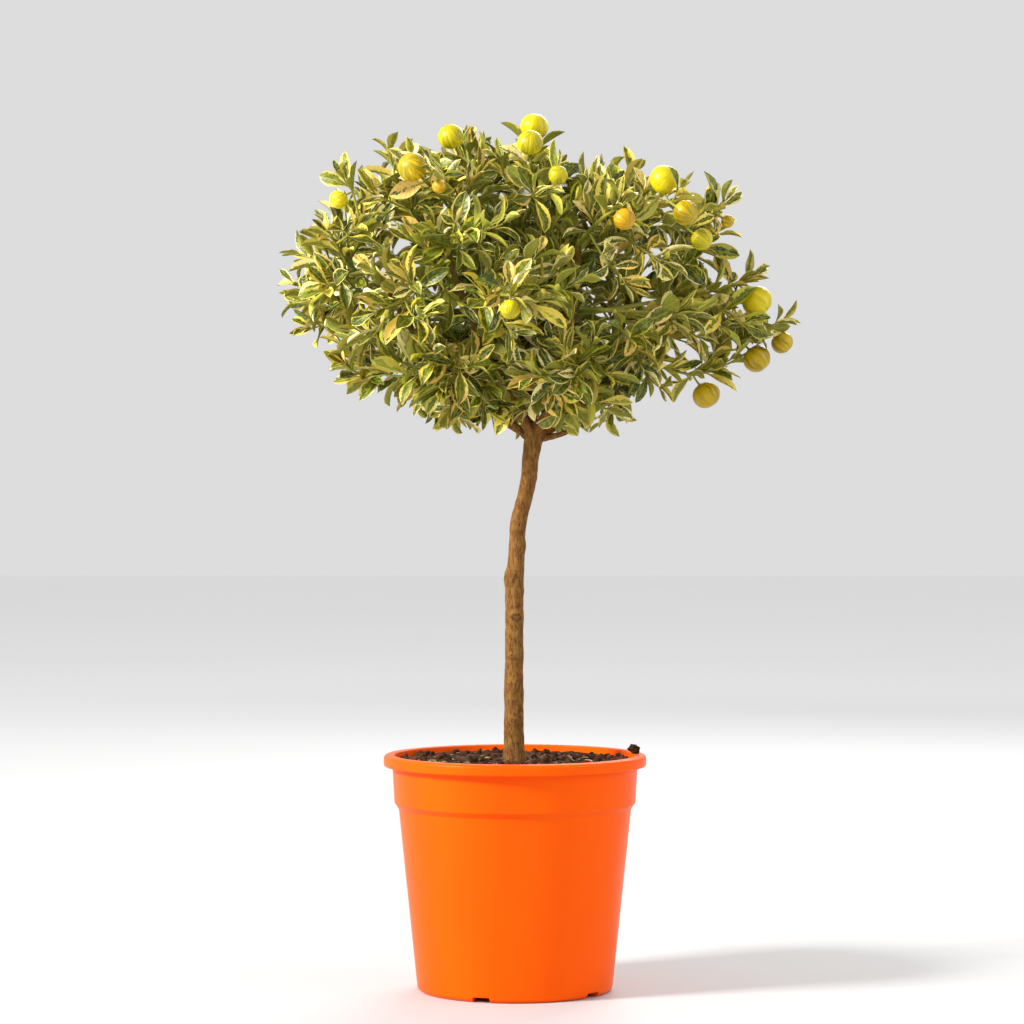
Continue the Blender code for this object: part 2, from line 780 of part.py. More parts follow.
def grow_spur(boughs, stalk_end, taken):
    """A short twig from a bough to the end of a fruit's stalk, the first that has room."""
    wide, roomy = 2 * SPUR_RADIUS, 2 * SPUR_RADIUS + 2 * GAP
    wood = [(b, line_tree(b.line, BOUGH_RADIUS)) for b in boughs]
    for bough, segment, middle in spur_places(boughs, stalk_end):
        if (middle - stalk_end).length < 6 * GAP and segment == len(bough.line) - 2:
            return
        wall = bough.wall_towards(segment, stalk_end - middle)
        if wall is None:
            continue
        others = taken + [tree for b, tree in wood if b is not bough]
        base = wall.calc_center_median()
        for bulge in SPUR_BULGES:
            along = (stalk_end - base).normalized()
            across = along.orthogonal().normalized()
            knee = base.lerp(stalk_end, 0.5) + wall.normal * bulge * (stalk_end - base).length
            line = smooth_path([base, knee, stalk_end], 4)
            room = [rectangle(p, along, across, roomy, roomy) for p in line[1:]]
            tree = shell_tree(room, stalk_end + along * GAP)
            if fits(tree, others):
                bough.grow(wall, [rectangle(p, along, across, wide, wide) for p in line], None)
                bough.trees.append(tree)
                taken.append(tree)
                return


def grow_leaf(bough, wall, along, across, size, taken):
    """Grows one leaf from a wall if there is room for it, and says whether there was."""
    base = wall.calc_center_median()
    tree = shell_tree(*leaf_shape(base, along, across, size, grown=2 * GAP))
    if not fits(tree, taken):
        return False
    bough.grow(wall, *leaf_shape(base, along, across, size))
    taken.append(tree)
    return True


def grow_leaves(bough, taken, chance):
    """Leaves spiral up the bough, and one more stands on its tip."""
    level = Vector((0.0, 0.0, 1.0))
    ahead = (bough.line[-1] - bough.line[-2]).normalized()
    grow_leaf(bough, bough.cap, ahead, ahead.cross(level).normalized(), 1.0, taken)
    segments = len(bough.segments)
    first = segments // 4
    for number in reversed(range(LEAVES_PER_BOUGH)):
        segment = first + (segments - first) * number // LEAVES_PER_BOUGH
        stalk = (bough.line[segment + 1] - bough.line[segment]).normalized()
        side = stalk.orthogonal().normalized()
        for attempt in range(LEAF_TRIES):
            turn = LEAF_TURN * (number + attempt * 0.37) + chance.uniform(-0.3, 0.3)
            wall = bough.wall_towards(segment, Matrix.Rotation(turn, 3, stalk) @ side)
            if wall is None:
                break
            along = (wall.normal + stalk * chance.uniform(0.6, 1.3) + level * 0.2).normalized()
            roll = Matrix.Rotation(chance.uniform(-LEAF_ROLL, LEAF_ROLL), 3, along)
            across = roll @ along.cross(level + stalk * 0.3).normalized()
            if grow_leaf(bough, wall, along, across, chance.uniform(0.8, 1.12), taken):
                break


def make_clod(group):
    """A lump of mix that lies on the rim at the right."""
    bm = bmesh.new()
    bmesh.ops.create_icosphere(bm, subdivisions=2, radius=CLOD_RADIUS)
    for vert in bm.verts:
        vert.co *= 1.0 + 0.35 * noise.noise(vert.co * 260.0)
    bmesh.ops.scale(bm, vec=(1.15, 1.0, 0.8), verts=bm.verts)
    low = min(v.co.z for v in bm.verts)
    place = Vector((COLLAR_RADIUS - WALL, 0.0, POT_HEIGHT + GAP - low))
    bmesh.ops.translate(bm, vec=place, verts=bm.verts)
    return place_object("peat_clod", mesh_of(bm, "peat_clod"), dark_mix(), group)


def make_litter(number, azimuth, distance, group):
    """A dry leaf curled on the surface of the mix."""
    bm = bmesh.new()
    bmesh.ops.create_grid(bm, x_segments=4, y_segments=2, size=0.5)
    for vert in bm.verts:
        taper = 1.0 - 3.0 * vert.co.x**2
        curl = 0.10 * LITTER_LENGTH * (vert.co.x * 2) ** 2
        vert.co = Vector((vert.co.x * LITTER_LENGTH, vert.co.y * LITTER_WIDTH * taper, curl))
    bmesh.ops.solidify(bm, geom=list(bm.faces), thickness=LITTER_THICKNESS)
    place = heading(azimuth, 0.0) * distance
    turn = Matrix.Rotation(math.radians(azimuth * 1.7), 4, "Z")
    bmesh.ops.transform(bm, matrix=turn, verts=bm.verts)
    low = min(v.co.z for v in bm.verts)
    place.z = MIX_TOP + MIX_LUMP + GAP - low
    bmesh.ops.translate(bm, vec=place, verts=bm.verts)
    return place_object(f"fallen_leaf_{number}", mesh_of(bm, "litter"), dry_leaf(), group)


def main():
    for obj in list(bpy.data.objects):
        bpy.data.objects.remove(obj)
    chance = random.Random(SEED)
    group = collection("potted_calamondin")
    cutters = collection("cutters")
    make_pot(group, cutters)
    make_potting_mix(group)
    make_clod(group)
    for i, (azimuth, distance) in enumerate(LITTER_PLACES):
        make_litter(i + 1, azimuth, distance, group)
    stem = make_stem(group, cutters)
    bpy.context.view_layer.update()
    stem_tree = tree_of(stem)

    fruits, stalk_ends = [], []
    for i, centre in enumerate(fruit_centres()):
        diameter = FRUITS[i][3]
        direction = stalk_direction(centre)
        fruits.append(make_fruit(i + 1, centre, direction, diameter, group))
        above = diameter / 2 * FRUIT_SQUASH + STALK_LENGTH + SPUR_RADIUS + 3 * GAP
        stalk_ends.append(centre + direction * above)
    bpy.context.view_layer.update()
    fruit_trees = [tree_of(fruit) for fruit in fruits]

    boughs = make_boughs(bough_tips(stalk_ends), stem_tree, fruit_trees)
    taken = [stem_tree, *fruit_trees]
    for end in stalk_ends:
        grow_spur(boughs, end, taken)
    wood = [(b, line_tree(b.line, BOUGH_RADIUS)) for b in boughs]
    spurs = [tree for b in boughs for tree in b.trees]
    leaves = []
    for bough in boughs:
        others = [tree for b, tree in wood if b is not bough]
        room = taken + others + spurs + leaves
        before = len(room)
        grow_leaves(bough, room, chance)
        leaves += room[before:]
    for bough in boughs:
        bough.finish(group)


main()
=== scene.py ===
"""Looks of a variegated calamondin grown as a standard in an orange nursery pot.

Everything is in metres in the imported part's own frame: +Z up, the front towards -Y and the
origin under the middle of the pot. An azimuth is counted from the front (0) round by the
right, +X (90), and the back (180).
"""

import logging
import math
import random
from dataclasses import dataclass, field
from enum import Enum
from typing import Any, Iterable, Iterator, Mapping, Sequence

import bmesh
import bpy
from mathutils import Matrix, Vector, noise
from mathutils.kdtree import KDTree


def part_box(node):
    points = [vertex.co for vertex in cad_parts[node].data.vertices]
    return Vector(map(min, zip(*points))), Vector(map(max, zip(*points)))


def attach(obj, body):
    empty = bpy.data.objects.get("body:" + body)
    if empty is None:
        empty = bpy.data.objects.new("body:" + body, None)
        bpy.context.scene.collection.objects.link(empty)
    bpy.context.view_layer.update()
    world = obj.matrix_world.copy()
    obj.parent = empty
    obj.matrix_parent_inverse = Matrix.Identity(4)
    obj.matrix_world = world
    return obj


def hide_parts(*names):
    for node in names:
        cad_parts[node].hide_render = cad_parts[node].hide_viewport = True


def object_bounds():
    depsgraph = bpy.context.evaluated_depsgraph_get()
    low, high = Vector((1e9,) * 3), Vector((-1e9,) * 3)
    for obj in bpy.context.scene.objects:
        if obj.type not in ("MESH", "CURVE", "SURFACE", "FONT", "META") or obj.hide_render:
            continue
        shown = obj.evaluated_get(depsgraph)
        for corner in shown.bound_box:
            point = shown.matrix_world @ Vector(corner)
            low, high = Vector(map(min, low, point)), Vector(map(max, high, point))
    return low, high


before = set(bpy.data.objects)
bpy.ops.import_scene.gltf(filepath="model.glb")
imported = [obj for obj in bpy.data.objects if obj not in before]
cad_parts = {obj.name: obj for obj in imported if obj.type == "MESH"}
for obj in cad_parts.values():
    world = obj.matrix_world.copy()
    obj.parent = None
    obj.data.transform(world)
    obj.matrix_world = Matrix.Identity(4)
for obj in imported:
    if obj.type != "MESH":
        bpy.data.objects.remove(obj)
CAD_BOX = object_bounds()

Triple = tuple[float, float, float]

LOG = logging.getLogger("potted_calamondin")
UP = Vector((0.0, 0.0, 1.0))
GOLDEN_TURN = math.pi * (3.0 - math.sqrt(5.0))
LEAF_TURN = math.radians(137.5)
BAKE_MAP = "OFBake"
LEAF_MAP = "Leaf"
PEEL_MAP = "Peel"
TONE = "tone"


# --------------------------------------------------------------------------- shader maths


class Socket:
    """A node's output with arithmetic on it: an expression adds the Math nodes it needs."""

    def __init__(self, shader: "Shader", output: bpy.types.NodeSocket) -> None:
        """Wraps an output.

        Args:
            shader: The material that the output's node is in.
            output: The output.
        """
        self.shader = shader
        self.output = output

    def __add__(self, other: "Socket | float") -> "Socket":
        """Sum."""
        return self.shader.math("ADD", self, other)

    def __radd__(self, other: float) -> "Socket":
        """Sum, from the right."""
        return self.shader.math("ADD", other, self)

    def __sub__(self, other: "Socket | float") -> "Socket":
        """Difference."""
        return self.shader.math("SUBTRACT", self, other)

    def __rsub__(self, other: float) -> "Socket":
        """Difference, from the right."""
        return self.shader.math("SUBTRACT", other, self)

    def __mul__(self, other: "Socket | float") -> "Socket":
        """Product."""
        return self.shader.math("MULTIPLY", self, other)

    def __rmul__(self, other: float) -> "Socket":
        """Product, from the right."""
        return self.shader.math("MULTIPLY", other, self)

    def __pow__(self, other: "Socket | float") -> "Socket":
        """Power."""
        return self.shader.math("POWER", self, other)

    def __abs__(self) -> "Socket":
        """Size without its sign."""
        return self.shader.math("ABSOLUTE", self)

    def sine(self) -> "Socket":
        """Sine of an angle in radians."""
        return self.shader.math("SINE", self)

    def cosine(self) -> "Socket":
        """Cosine of an angle in radians."""
        return self.shader.math("COSINE", self)

    def step(self, low: float, high: float) -> "Socket":
        """A smooth step.

        Args:
            low: The value that gives 0.
            high: The value that gives 1. It may be the smaller of the two.

        Returns:
            The step, from 0 to 1.
        """
        settings = {"interpolation_type": "SMOOTHSTEP"}
        sockets = {"Value": self, "From Min": low, "From Max": high}
        return self.shader.add("ShaderNodeMapRange", settings, sockets)


class Shader:
    """One material's node tree, with a method that makes any node."""

    def __init__(self, name: str) -> None:
        """Makes an empty Principled material.

        Args:
            name: The material's name.
        """
        self.material = bpy.data.materials.new(name)
        self.material.use_nodes = True
        self.tree = self.material.node_tree
        self.surface = self.tree.nodes["Principled BSDF"]

    def node(
        self,
        kind: str,
        settings: Mapping[str, Any] | None = None,
        sockets: Mapping[str | int, Any] | None = None,
    ) -> bpy.types.Node:
        """Makes a node.

        Args:
            kind: The node's type.
            settings: Its properties, set first.
            sockets: Values or links for its inputs, by name or number.

        Returns:
            The node.
        """
        made = self.tree.nodes.new(kind)
        for name, value in (settings or {}).items():
            setattr(made, name, value)
        for key, value in (sockets or {}).items():
            self.feed(made.inputs[key], value)
        return made

    def feed(self, socket: bpy.types.NodeSocket, value: Any) -> None:
        """Links or sets one input.

        Args:
            socket: The input.
            value: A Socket to link, or a number, vector or colour to set.
        """
        if isinstance(value, Socket):
            self.tree.links.new(value.output, socket)
        elif socket.type == "RGBA":
            socket.default_value = (*value, 1.0)
        else:
            socket.default_value = value

    def add(
        self,
        kind: str,
        settings: Mapping[str, Any] | None = None,
        sockets: Mapping[str | int, Any] | None = None,
        output: str | int = 0,
    ) -> Socket:
        """Makes a node and wraps one of its outputs.

        Args:
            kind: The node's type.
            settings: As for node().
            sockets: As for node().
            output: The output's name or number.

        Returns:
            The output.
        """
        return Socket(self, self.node(kind, settings, sockets).outputs[output])

    def math(self, operation: str, *values: "Socket | float") -> Socket:
        """A Math node.

        Args:
            operation: Its operation.
            values: Its inputs.

        Returns:
            Its result.
        """
        return self.add("ShaderNodeMath", {"operation": operation}, dict(enumerate(values)))

    def place(self) -> Socket:
        """Object coordinates."""
        return self.add("ShaderNodeTexCoord", output="Object")

    def map(self, name: str) -> Socket:
        """Coordinates of one of the mesh's UV maps."""
        return self.add("ShaderNodeUVMap", {"uv_map": name})

    def split(self, vector: Socket) -> tuple[Socket, Socket, Socket]:
        """A vector's three numbers."""
        made = self.node("ShaderNodeSeparateXYZ", sockets={0: vector})
        return tuple(Socket(self, output) for output in made.outputs)

    def join(self, x: Any, y: Any, z: Any) -> Socket:
        """A vector from three numbers."""
        return self.add("ShaderNodeCombineXYZ", sockets={0: x, 1: y, 2: z})

    def stretch(self, vector: Socket, scale: Sequence[float]) -> Socket:
        """A vector scaled along each axis."""
        return self.add("ShaderNodeMapping", sockets={"Vector": vector, "Scale": scale})

    def noise(
        self, vector: Socket, scale: float, detail: float = 2.0, rough: float = 0.5
    ) -> Socket:
        """Noise from 0 to 1.

        Args:
            vector: Where it is read.
            scale: Lumps per unit of the vector.
            detail: How many finer layers it has.
            rough: How strong the finer layers are.

        Returns:
            The noise.
        """
        sockets = {"Vector": vector, "Scale": scale, "Detail": detail, "Roughness": rough}
        return self.add("ShaderNodeTexNoise", sockets=sockets)

    def cells(self, vector: Socket, scale: float) -> Socket:
        """Distance to the nearest of scattered points.

        Args:
            vector: Where it is read.
            scale: Points per unit of the vector.

        Returns:
            The distance.
        """
        sockets = {"Vector": vector, "Scale": scale}
        return self.add("ShaderNodeTexVoronoi", sockets=sockets, output="Distance")

    def mix(self, share: "Socket | float", a: Any, b: Any) -> Socket:
        """Mixes two colours.

        Args:
            share: How much of b shows, from 0 to 1.
            a: A colour or a Socket.
            b: A colour or a Socket.

        Returns:
            The mixed colour.
        """
        settings = {"data_type": "RGBA", "clamp_factor": True}
        return self.add("ShaderNodeMix", settings, {0: share, 6: a, 7: b}, 2)

    def shade(self, colour: Socket, amount: "Socket | float") -> Socket:
        """A colour made lighter or darker by a factor.

        Args:
            colour: The colour.
            amount: The factor, about 1.

        Returns:
            The changed colour.
        """
        grey = self.join(amount, amount, amount)
        settings = {"data_type": "RGBA", "blend_type": "MULTIPLY", "clamp_factor": True}
        return self.add("ShaderNodeMix", settings, {0: 1.0, 6: colour, 7: grey}, 2)

    def bump(self, height: Socket, depth: float, strength: float = 1.0) -> Socket:
        """A normal bent by a height.

        Args:
            height: The height, from 0 to 1.
            depth: Metres that a height of 1 stands for.
            strength: The Bump node's strength.

        Returns:
            The normal.
        """
        sockets = {"Strength": strength, "Distance": depth, "Height": height}
        return self.add("ShaderNodeBump", sockets=sockets)

    def finish(self, **sockets: Any) -> bpy.types.Material:
        """Feeds the Principled shader.

        Args:
            sockets: Its inputs, with _ for each space in a name.

        Returns:
            The material.
        """
        for name, value in sockets.items():
            words = name.replace("_", " ").title().replace("Ior", "IOR")
            self.feed(self.surface.inputs[words], value)
        return self.material


# ------------------------------------------------------------------------------- finishes


@dataclass(frozen=True)
class MouldedPlastic:
    """Glossy orange polypropylene with a faint flow pattern, dust and handling marks."""

    base: Triple = (0.94, 0.090, 0.0)
    pale: Triple = (0.96, 0.150, 0.0)
    dust: Triple = (0.70, 0.22, 0.05)
    roughness: float = 0.34

    def make(self) -> bpy.types.Material:
        """Builds the material."""
        s = Shader("moulded_orange_plastic")
        place = s.place()
        flow = s.noise(s.stretch(place, (1.0, 1.0, 0.25)), 14.0, 3.0)
        cloud = s.noise(place, 5.0, 2.0)
        grain = s.noise(place, 2600.0, 2.0, 0.6)
        scuff = s.noise(s.stretch(place, (1.0, 1.0, 6.0)), 160.0, 4.0, 0.7).step(0.62, 0.78)
        specks = s.noise(place, 420.0, 2.0, 0.7).step(0.70, 0.80)
        colour = s.mix(flow.step(0.35, 0.75) * 0.35, self.base, self.pale)
        colour = s.mix(cloud.step(0.4, 0.7) * 0.12, colour, self.pale)
        colour = s.mix(scuff * 0.16 + specks * 0.22, colour, self.dust)
        rough = self.roughness + (grain - 0.5) * 0.10 + scuff * 0.14
        height = grain * 0.6 + s.noise(place, 70.0, 2.0) * 2.2
        normal = s.bump(height, 0.00006, 0.6)
        return s.finish(
            base_color=colour,
            roughness=rough,
            normal=normal,
            specular_ior_level=0.07,
        )


@dataclass(frozen=True)
class PottingPeat:
    """Dark peat with brown fibre, pale grit and damp patches."""

    dark: Triple = (0.024, 0.0095, 0.0040)
    brown: Triple = (0.125, 0.047, 0.017)
    fibre: Triple = (0.32, 0.16, 0.055)
    grit: Triple = (0.42, 0.32, 0.18)

    def make(self) -> bpy.types.Material:
        """Builds the material."""
        s = Shader("peat_and_fibre")
        place = s.place()
        lumps = s.noise(place, 95.0, 5.0, 0.65)
        crumbs = s.cells(place, 420.0)
        fine = s.noise(place, 1500.0, 3.0, 0.7)
        strands = s.noise(s.stretch(place, (3.4, 0.5, 1.0)), 420.0, 3.0, 0.6).step(0.66, 0.74)
        other = s.noise(s.stretch(place, (0.5, 3.1, 1.0)), 380.0, 3.0, 0.6).step(0.68, 0.76)
        grit = s.noise(place, 700.0, 1.0).step(0.75, 0.79)
        colour = s.mix(lumps.step(0.38, 0.68), self.dark, self.brown)
        colour = s.mix(crumbs.step(0.25, 0.75) * 0.35, colour, self.dark)
        colour = s.mix(strands * 0.55 + other * 0.45, colour, self.fibre)
        colour = s.mix(grit * 0.7, colour, self.grit)
        colour = s.shade(colour, 0.72 + fine * 0.56)
        damp = s.noise(place, 34.0, 2.0).step(0.42, 0.62)
        height = lumps * 0.6 + crumbs * 0.35 + fine * 0.2
        return s.finish(
            base_color=colour,
            roughness=0.82 + damp * 0.14,
            normal=s.bump(height, 0.0014, 0.9),
            specular_ior_level=0.12,
        )


@dataclass(frozen=True)
class Bark:
    """Thin brown bark with upright cracks, pores and knots, greener towards the crown."""

    deep: Triple = (0.060, 0.020, 0.003)
    tan: Triple = (0.165, 0.060, 0.009)
    ochre: Triple = (0.275, 0.134, 0.026)
    green: Triple = (0.125, 0.095, 0.009)
    knots: tuple[tuple[float, float, float, float, float], ...] = ()
    green_from: float = 0.462
    green_to: float = 0.54

    def knot_marks(self, s: Shader, place: Socket) -> tuple[Socket, Socket]:
        """Marks the knots.

        Args:
            s: The material.
            place: Object coordinates.

        Returns:
            How strongly each place is a knot's dark ring or core, and its pale lip.
        """
        x, y, z = s.split(place)
        wobble = (s.noise(place, 300.0, 3.0, 0.6) - 0.5) * 0.0042
        patchy = s.noise(place, 500.0, 2.0).step(0.34, 0.56)
        dark, pale = 0.0, 0.0
        for kx, ky, kz, size, strength in self.knots:
            squashed = ((x - kx) ** 2.0 + (y - ky) ** 2.0 + ((z - kz) * 1.25) ** 2.0) ** 0.5
            gap = squashed + wobble
            ring = gap.step(size * 0.26, size * 0.42) * gap.step(size * 0.72, size * 0.50)
            core = gap.step(size * 0.24, size * 0.05)
            dark = (ring * patchy + core) * strength + dark
            lip = gap.step(size * 0.50, size * 0.74) * gap.step(size * 1.25, size * 0.80)
            pale = lip * strength + pale
        return dark, pale

    def make(self) -> bpy.types.Material:
        """Builds the material."""
        s = Shader("young_citrus_bark")
        place = s.place()
        _, _, z = s.split(place)
        upright = s.stretch(place, (1.0, 1.0, 0.24))
        cracks = s.noise(upright, 720.0, 5.0, 0.70)
        fibres = s.noise(s.stretch(place, (1.0, 1.0, 0.14)), 1500.0, 3.0, 0.6)
        fine = s.noise(s.stretch(place, (1.0, 1.0, 0.5)), 1700.0, 3.0, 0.65)
        blotch = s.noise(s.stretch(place, (1.0, 1.0, 0.50)), 210.0, 5.0, 0.72)
        rings = s.noise(s.stretch(place, (0.25, 0.25, 1.0)), 260.0, 3.0, 0.6)
        pores = s.cells(s.stretch(place, (0.55, 0.55, 1.5)), 420.0).step(0.26, 0.12)
        colour = s.mix(blotch.step(0.36, 0.64), self.tan, self.ochre)
        colour = s.mix(fibres.step(0.52, 0.68) * 0.55, colour, self.ochre)
        colour = s.mix(cracks.step(0.53, 0.38) * 0.78, colour, self.deep)
        colour = s.mix(rings.step(0.60, 0.72) * 0.40, colour, self.deep)
        colour = s.mix(pores * 0.55, colour, self.ochre)
        dark, pale = self.knot_marks(s, place)
        colour = s.mix(pale * 0.30, colour, self.ochre)
        colour = s.mix(dark * 0.72, colour, self.deep)
        young = z.step(self.green_from, self.green_to) * (0.5 + blotch * 0.6)
        colour = s.mix(young, colour, self.green)
        colour = s.shade(colour, 0.70 + fine * 0.60)
        height = cracks * 0.8 + fibres * 0.25 + rings * 0.3 + fine * 0.25 - dark * 0.5
        return s.finish(
            base_color=colour,
            roughness=0.66 + fine * 0.22,
            normal=s.bump(height, 0.0010, 0.9),
            specular_ior_level=0.22,
        )


@dataclass(frozen=True)
class GreenWood:
    """Young twigs: green to straw yellow with pale streaks."""

    green: Triple = (0.150, 0.180, 0.008)
    straw: Triple = (0.360, 0.330, 0.030)
    brown: Triple = (0.130, 0.075, 0.012)

    def make(self) -> bpy.types.Material:
        """Builds the material."""
        s = Shader("green_wood")
        place = s.place()
        streak = s.noise(place, 160.0, 3.0, 0.6)
        patch = s.noise(place, 26.0, 2.0)
        colour = s.mix(patch.step(0.40, 0.62), self.green, self.straw)
        colour = s.mix(streak.step(0.56, 0.74) * 0.6, colour, self.brown)
        return s.finish(
            base_color=colour,
            roughness=0.46 + streak * 0.2,
            normal=s.bump(streak, 0.0003, 0.7),
        )


@dataclass(frozen=True)
class VariegatedLeaf:
    """A green leaf with a grey-green layer and an uneven cream margin.

    The leaf's own map runs across it and from its stalk to its tip. The tone attribute holds
    a random seed, how much of it is green, and whether the face is its underside.
    """

    deep: Triple = (0.028, 0.055, 0.002)
    leaf_green: Triple = (0.112, 0.138, 0.001)
    grey: Triple = (0.265, 0.285, 0.026)
    cream: Triple = (0.95, 0.80, 0.370)
    butter: Triple = (0.84, 0.66, 0.100)
    lime: Triple = (0.39, 0.39, 0.007)
    peach: Triple = (0.78, 0.46, 0.050)
    back: Triple = (0.38, 0.36, 0.045)
    veins: float = 8.0

    def make(self) -> bpy.types.Material:
        """Builds the material."""
        s = Shader("variegated_leaf")
        u, v, _ = s.split(s.map(LEAF_MAP))
        tone = s.node("ShaderNodeAttribute", {"attribute_name": TONE})
        seed, green_share, under = s.split(Socket(s, tone.outputs["Color"]))
        margin = abs(u * 2.0 - 1.0)
        slant = v - margin * 0.16
        own = s.join(u * 1.7 + seed * 31.0, v * 3.4 + seed * 17.0, seed * 53.0)
        along_vein = s.join(margin * 1.1 + seed * 23.0, slant * 11.0, u.step(0.49, 0.51) * 3.0)
        lobes = s.noise(own, 1.5, 2.0, 0.5)
        streaks = s.noise(along_vein, 1.6, 2.0, 0.6)
        reach = green_share + (lobes - 0.5) * 1.15 + (streaks - 0.5) * 0.55
        most = 0.80 + lobes * 0.10 + green_share.step(1.1, 1.3) * 0.5
        cream_area = (margin - s.math("MINIMUM", reach, most)).step(-0.05, 0.03)
        layer = s.noise(own, 2.4, 2.0, 0.5) + (streaks - 0.5) * 0.5
        green = s.mix(seed.step(0.10, 0.90), self.deep, self.leaf_green)
        green = s.mix(layer.step(0.51, 0.57) * 0.62, green, self.grey)
        tint = (seed * 97.31).sine() * 0.5 + 0.5
        pale = s.mix(tint.step(0.20, 0.55), self.butter, self.cream)
        pale = s.mix(tint.step(0.72, 0.94) * 0.8, pale, self.peach)
        pale = s.mix((seed * 59.7).cosine().step(0.50, 0.95) * 0.8, pale, self.lime)
        pale = s.mix(layer.step(0.52, 0.64) * 0.35, pale, self.lime)
        colour = s.mix(cream_area, green, pale)
        vein = (slant * (self.veins * math.tau)).cosine()
        lines = vein.step(0.86, 1.0) * margin.step(0.95, 0.6)
        midrib = margin.step(0.10, 0.03)
        colour = s.mix(lines * 0.16 + midrib * 0.5, colour, s.mix(0.5, self.lime, pale))
        colour = s.mix(under * 0.5, colour, self.back)
        mottle = s.noise(own, 9.0, 2.0, 0.6)
        colour = s.shade(colour, 0.84 + mottle * 0.32)
        rough = 0.33 + under * 0.26 + mottle * 0.12
        height = vein * -0.16 * margin.step(0.0, 0.3) - midrib * 0.8 + mottle * 0.3
        return s.finish(
            base_color=colour,
            roughness=rough,
            normal=s.bump(height, 0.00035, 0.8),
            specular_ior_level=0.36,
        )


class Ripeness(Enum):
    """How far a fruit has turned: (green, middle and ripe colour, share of green). The olive one
    is painted shade rather than ripeness: a darker rind for fruits in the crown's shade.
    """

    YELLOW = ((0.24, 0.25, 0.002), (0.46, 0.38, 0.001), (0.68, 0.54, 0.003), 0.52)
    STRIPED = ((0.26, 0.22, 0.002), (0.46, 0.30, 0.001), (0.68, 0.44, 0.003), 0.56)
    AMBER = ((0.32, 0.20, 0.001), (0.48, 0.25, 0.001), (0.64, 0.36, 0.002), 0.50)
    # Olive: the amber rind made darker, painted shade for the fruits that hang under and behind
    # the crown.
    OLIVE = ((0.200, 0.130, 0.001), (0.330, 0.215, 0.001), (0.500, 0.340, 0.001), 0.46)
    LEMON = ((0.34, 0.31, 0.002), (0.58, 0.46, 0.001), (0.78, 0.63, 0.006), 0.46)


@dataclass(frozen=True)
class Rind:
    """Citrus peel with stripes from stalk to tip, oil pores and a waxy gloss."""

    ripeness: Ripeness
    stripes: float = 2.9

    def make(self) -> bpy.types.Material:
        """Builds the material."""
        green, middle, ripe, share = self.ripeness.value
        s = Shader(f"rind_{self.ripeness.name.lower()}")
        place = s.place()
        u, v, _ = s.split(s.map(PEEL_MAP))
        turn = u * math.tau
        round_it = s.join(turn.cosine() * self.stripes, turn.sine() * self.stripes, v * 0.9)
        bands = s.noise(round_it, 1.9, 3.0, 0.6) + (s.noise(place, 90.0, 2.0) - 0.5) * 0.16
        broad = s.noise(round_it, 0.8, 1.0)
        blush = s.noise(place, 60.0, 2.0)
        pores = s.cells(place, 1150.0)
        green_area = bands.step(share - 0.02, share - 0.12)
        colour = s.mix(broad.step(0.36, 0.62), middle, ripe)
        colour = s.mix(green_area * 0.8, colour, green)
        colour = s.mix(v.step(0.80, 0.97) * 0.55, colour, green)
        colour = s.shade(colour, 0.86 + blush * 0.2 + pores * 0.12)
        height = pores * 0.8 + blush * 0.8
        return s.finish(
            base_color=colour,
            roughness=0.27 + pores * 0.14,
            normal=s.bump(height, 0.00022, 0.7),
            specular_ior_level=0.36,
        )


@dataclass(frozen=True)
class DryMatter:
    """Straw, dead leaves and dry stalks."""

    straw: Triple = (0.52, 0.37, 0.16)
    brown: Triple = (0.20, 0.105, 0.042)

    def make(self) -> bpy.types.Material:
        """Builds the material."""
        s = Shader("dry_straw_and_leaf")
        place = s.place()
        patch = s.noise(place, 190.0, 4.0, 0.65)
        fibre = s.noise(s.stretch(place, (0.4, 2.4, 1.0)), 900.0, 2.0)
        colour = s.mix(patch.step(0.36, 0.66), self.straw, self.brown)
        colour = s.shade(colour, 0.75 + fibre * 0.5)
        normal = s.bump(patch * 0.6 + fibre * 0.5, 0.0004, 0.8)
        return s.finish(base_color=colour, roughness=0.72 + patch * 0.2, normal=normal)


@dataclass(frozen=True)
class PaleFloor:
    """Plain off-white studio floor, painted darker near the middle where the lamps are close and
    paler far off: painted shade and light that even out the lamps' pool.
    """

    # near is painted shade under the lamps' pool of light; far is painted light where the lamps
    # fall off.
    near: Triple = (0.55, 0.545, 0.54)
    far: Triple = (0.95, 0.95, 0.95)

    def make(self) -> bpy.types.Material:
        """Builds the material."""
        s = Shader("pale_floor")
        place = s.place()
        x, y, _ = s.split(place)
        distance = (x**2.0 + y**2.0) ** 0.5
        # The tone rises with distance from the middle: painted shade near the lamps and painted
        # light far off, so the lit floor looks even.
        colour = s.mix(distance.step(0.5, 4.5), self.near, self.far)
        colour = s.shade(colour, 0.985 + s.noise(place, 1.4, 2.0) * 0.03)
        return s.finish(base_color=colour, roughness=0.6, specular_ior_level=0.2)


# ------------------------------------------------------------------------ shape helpers


def put(name: str, data: Any) -> bpy.types.Object:
    """A new object in the scene, made from a mesh, a light or a camera."""
    made = bpy.data.objects.new(name, data)
    bpy.context.scene.collection.objects.link(made)
    return made


def heading(azimuth: float, elevation: float) -> Vector:
    """Unit direction for an azimuth and an elevation in degrees."""
    turn, rise = math.radians(azimuth), math.radians(elevation)
    flat = math.cos(rise)
    return Vector((math.sin(turn) * flat, -math.cos(turn) * flat, math.sin(rise)))


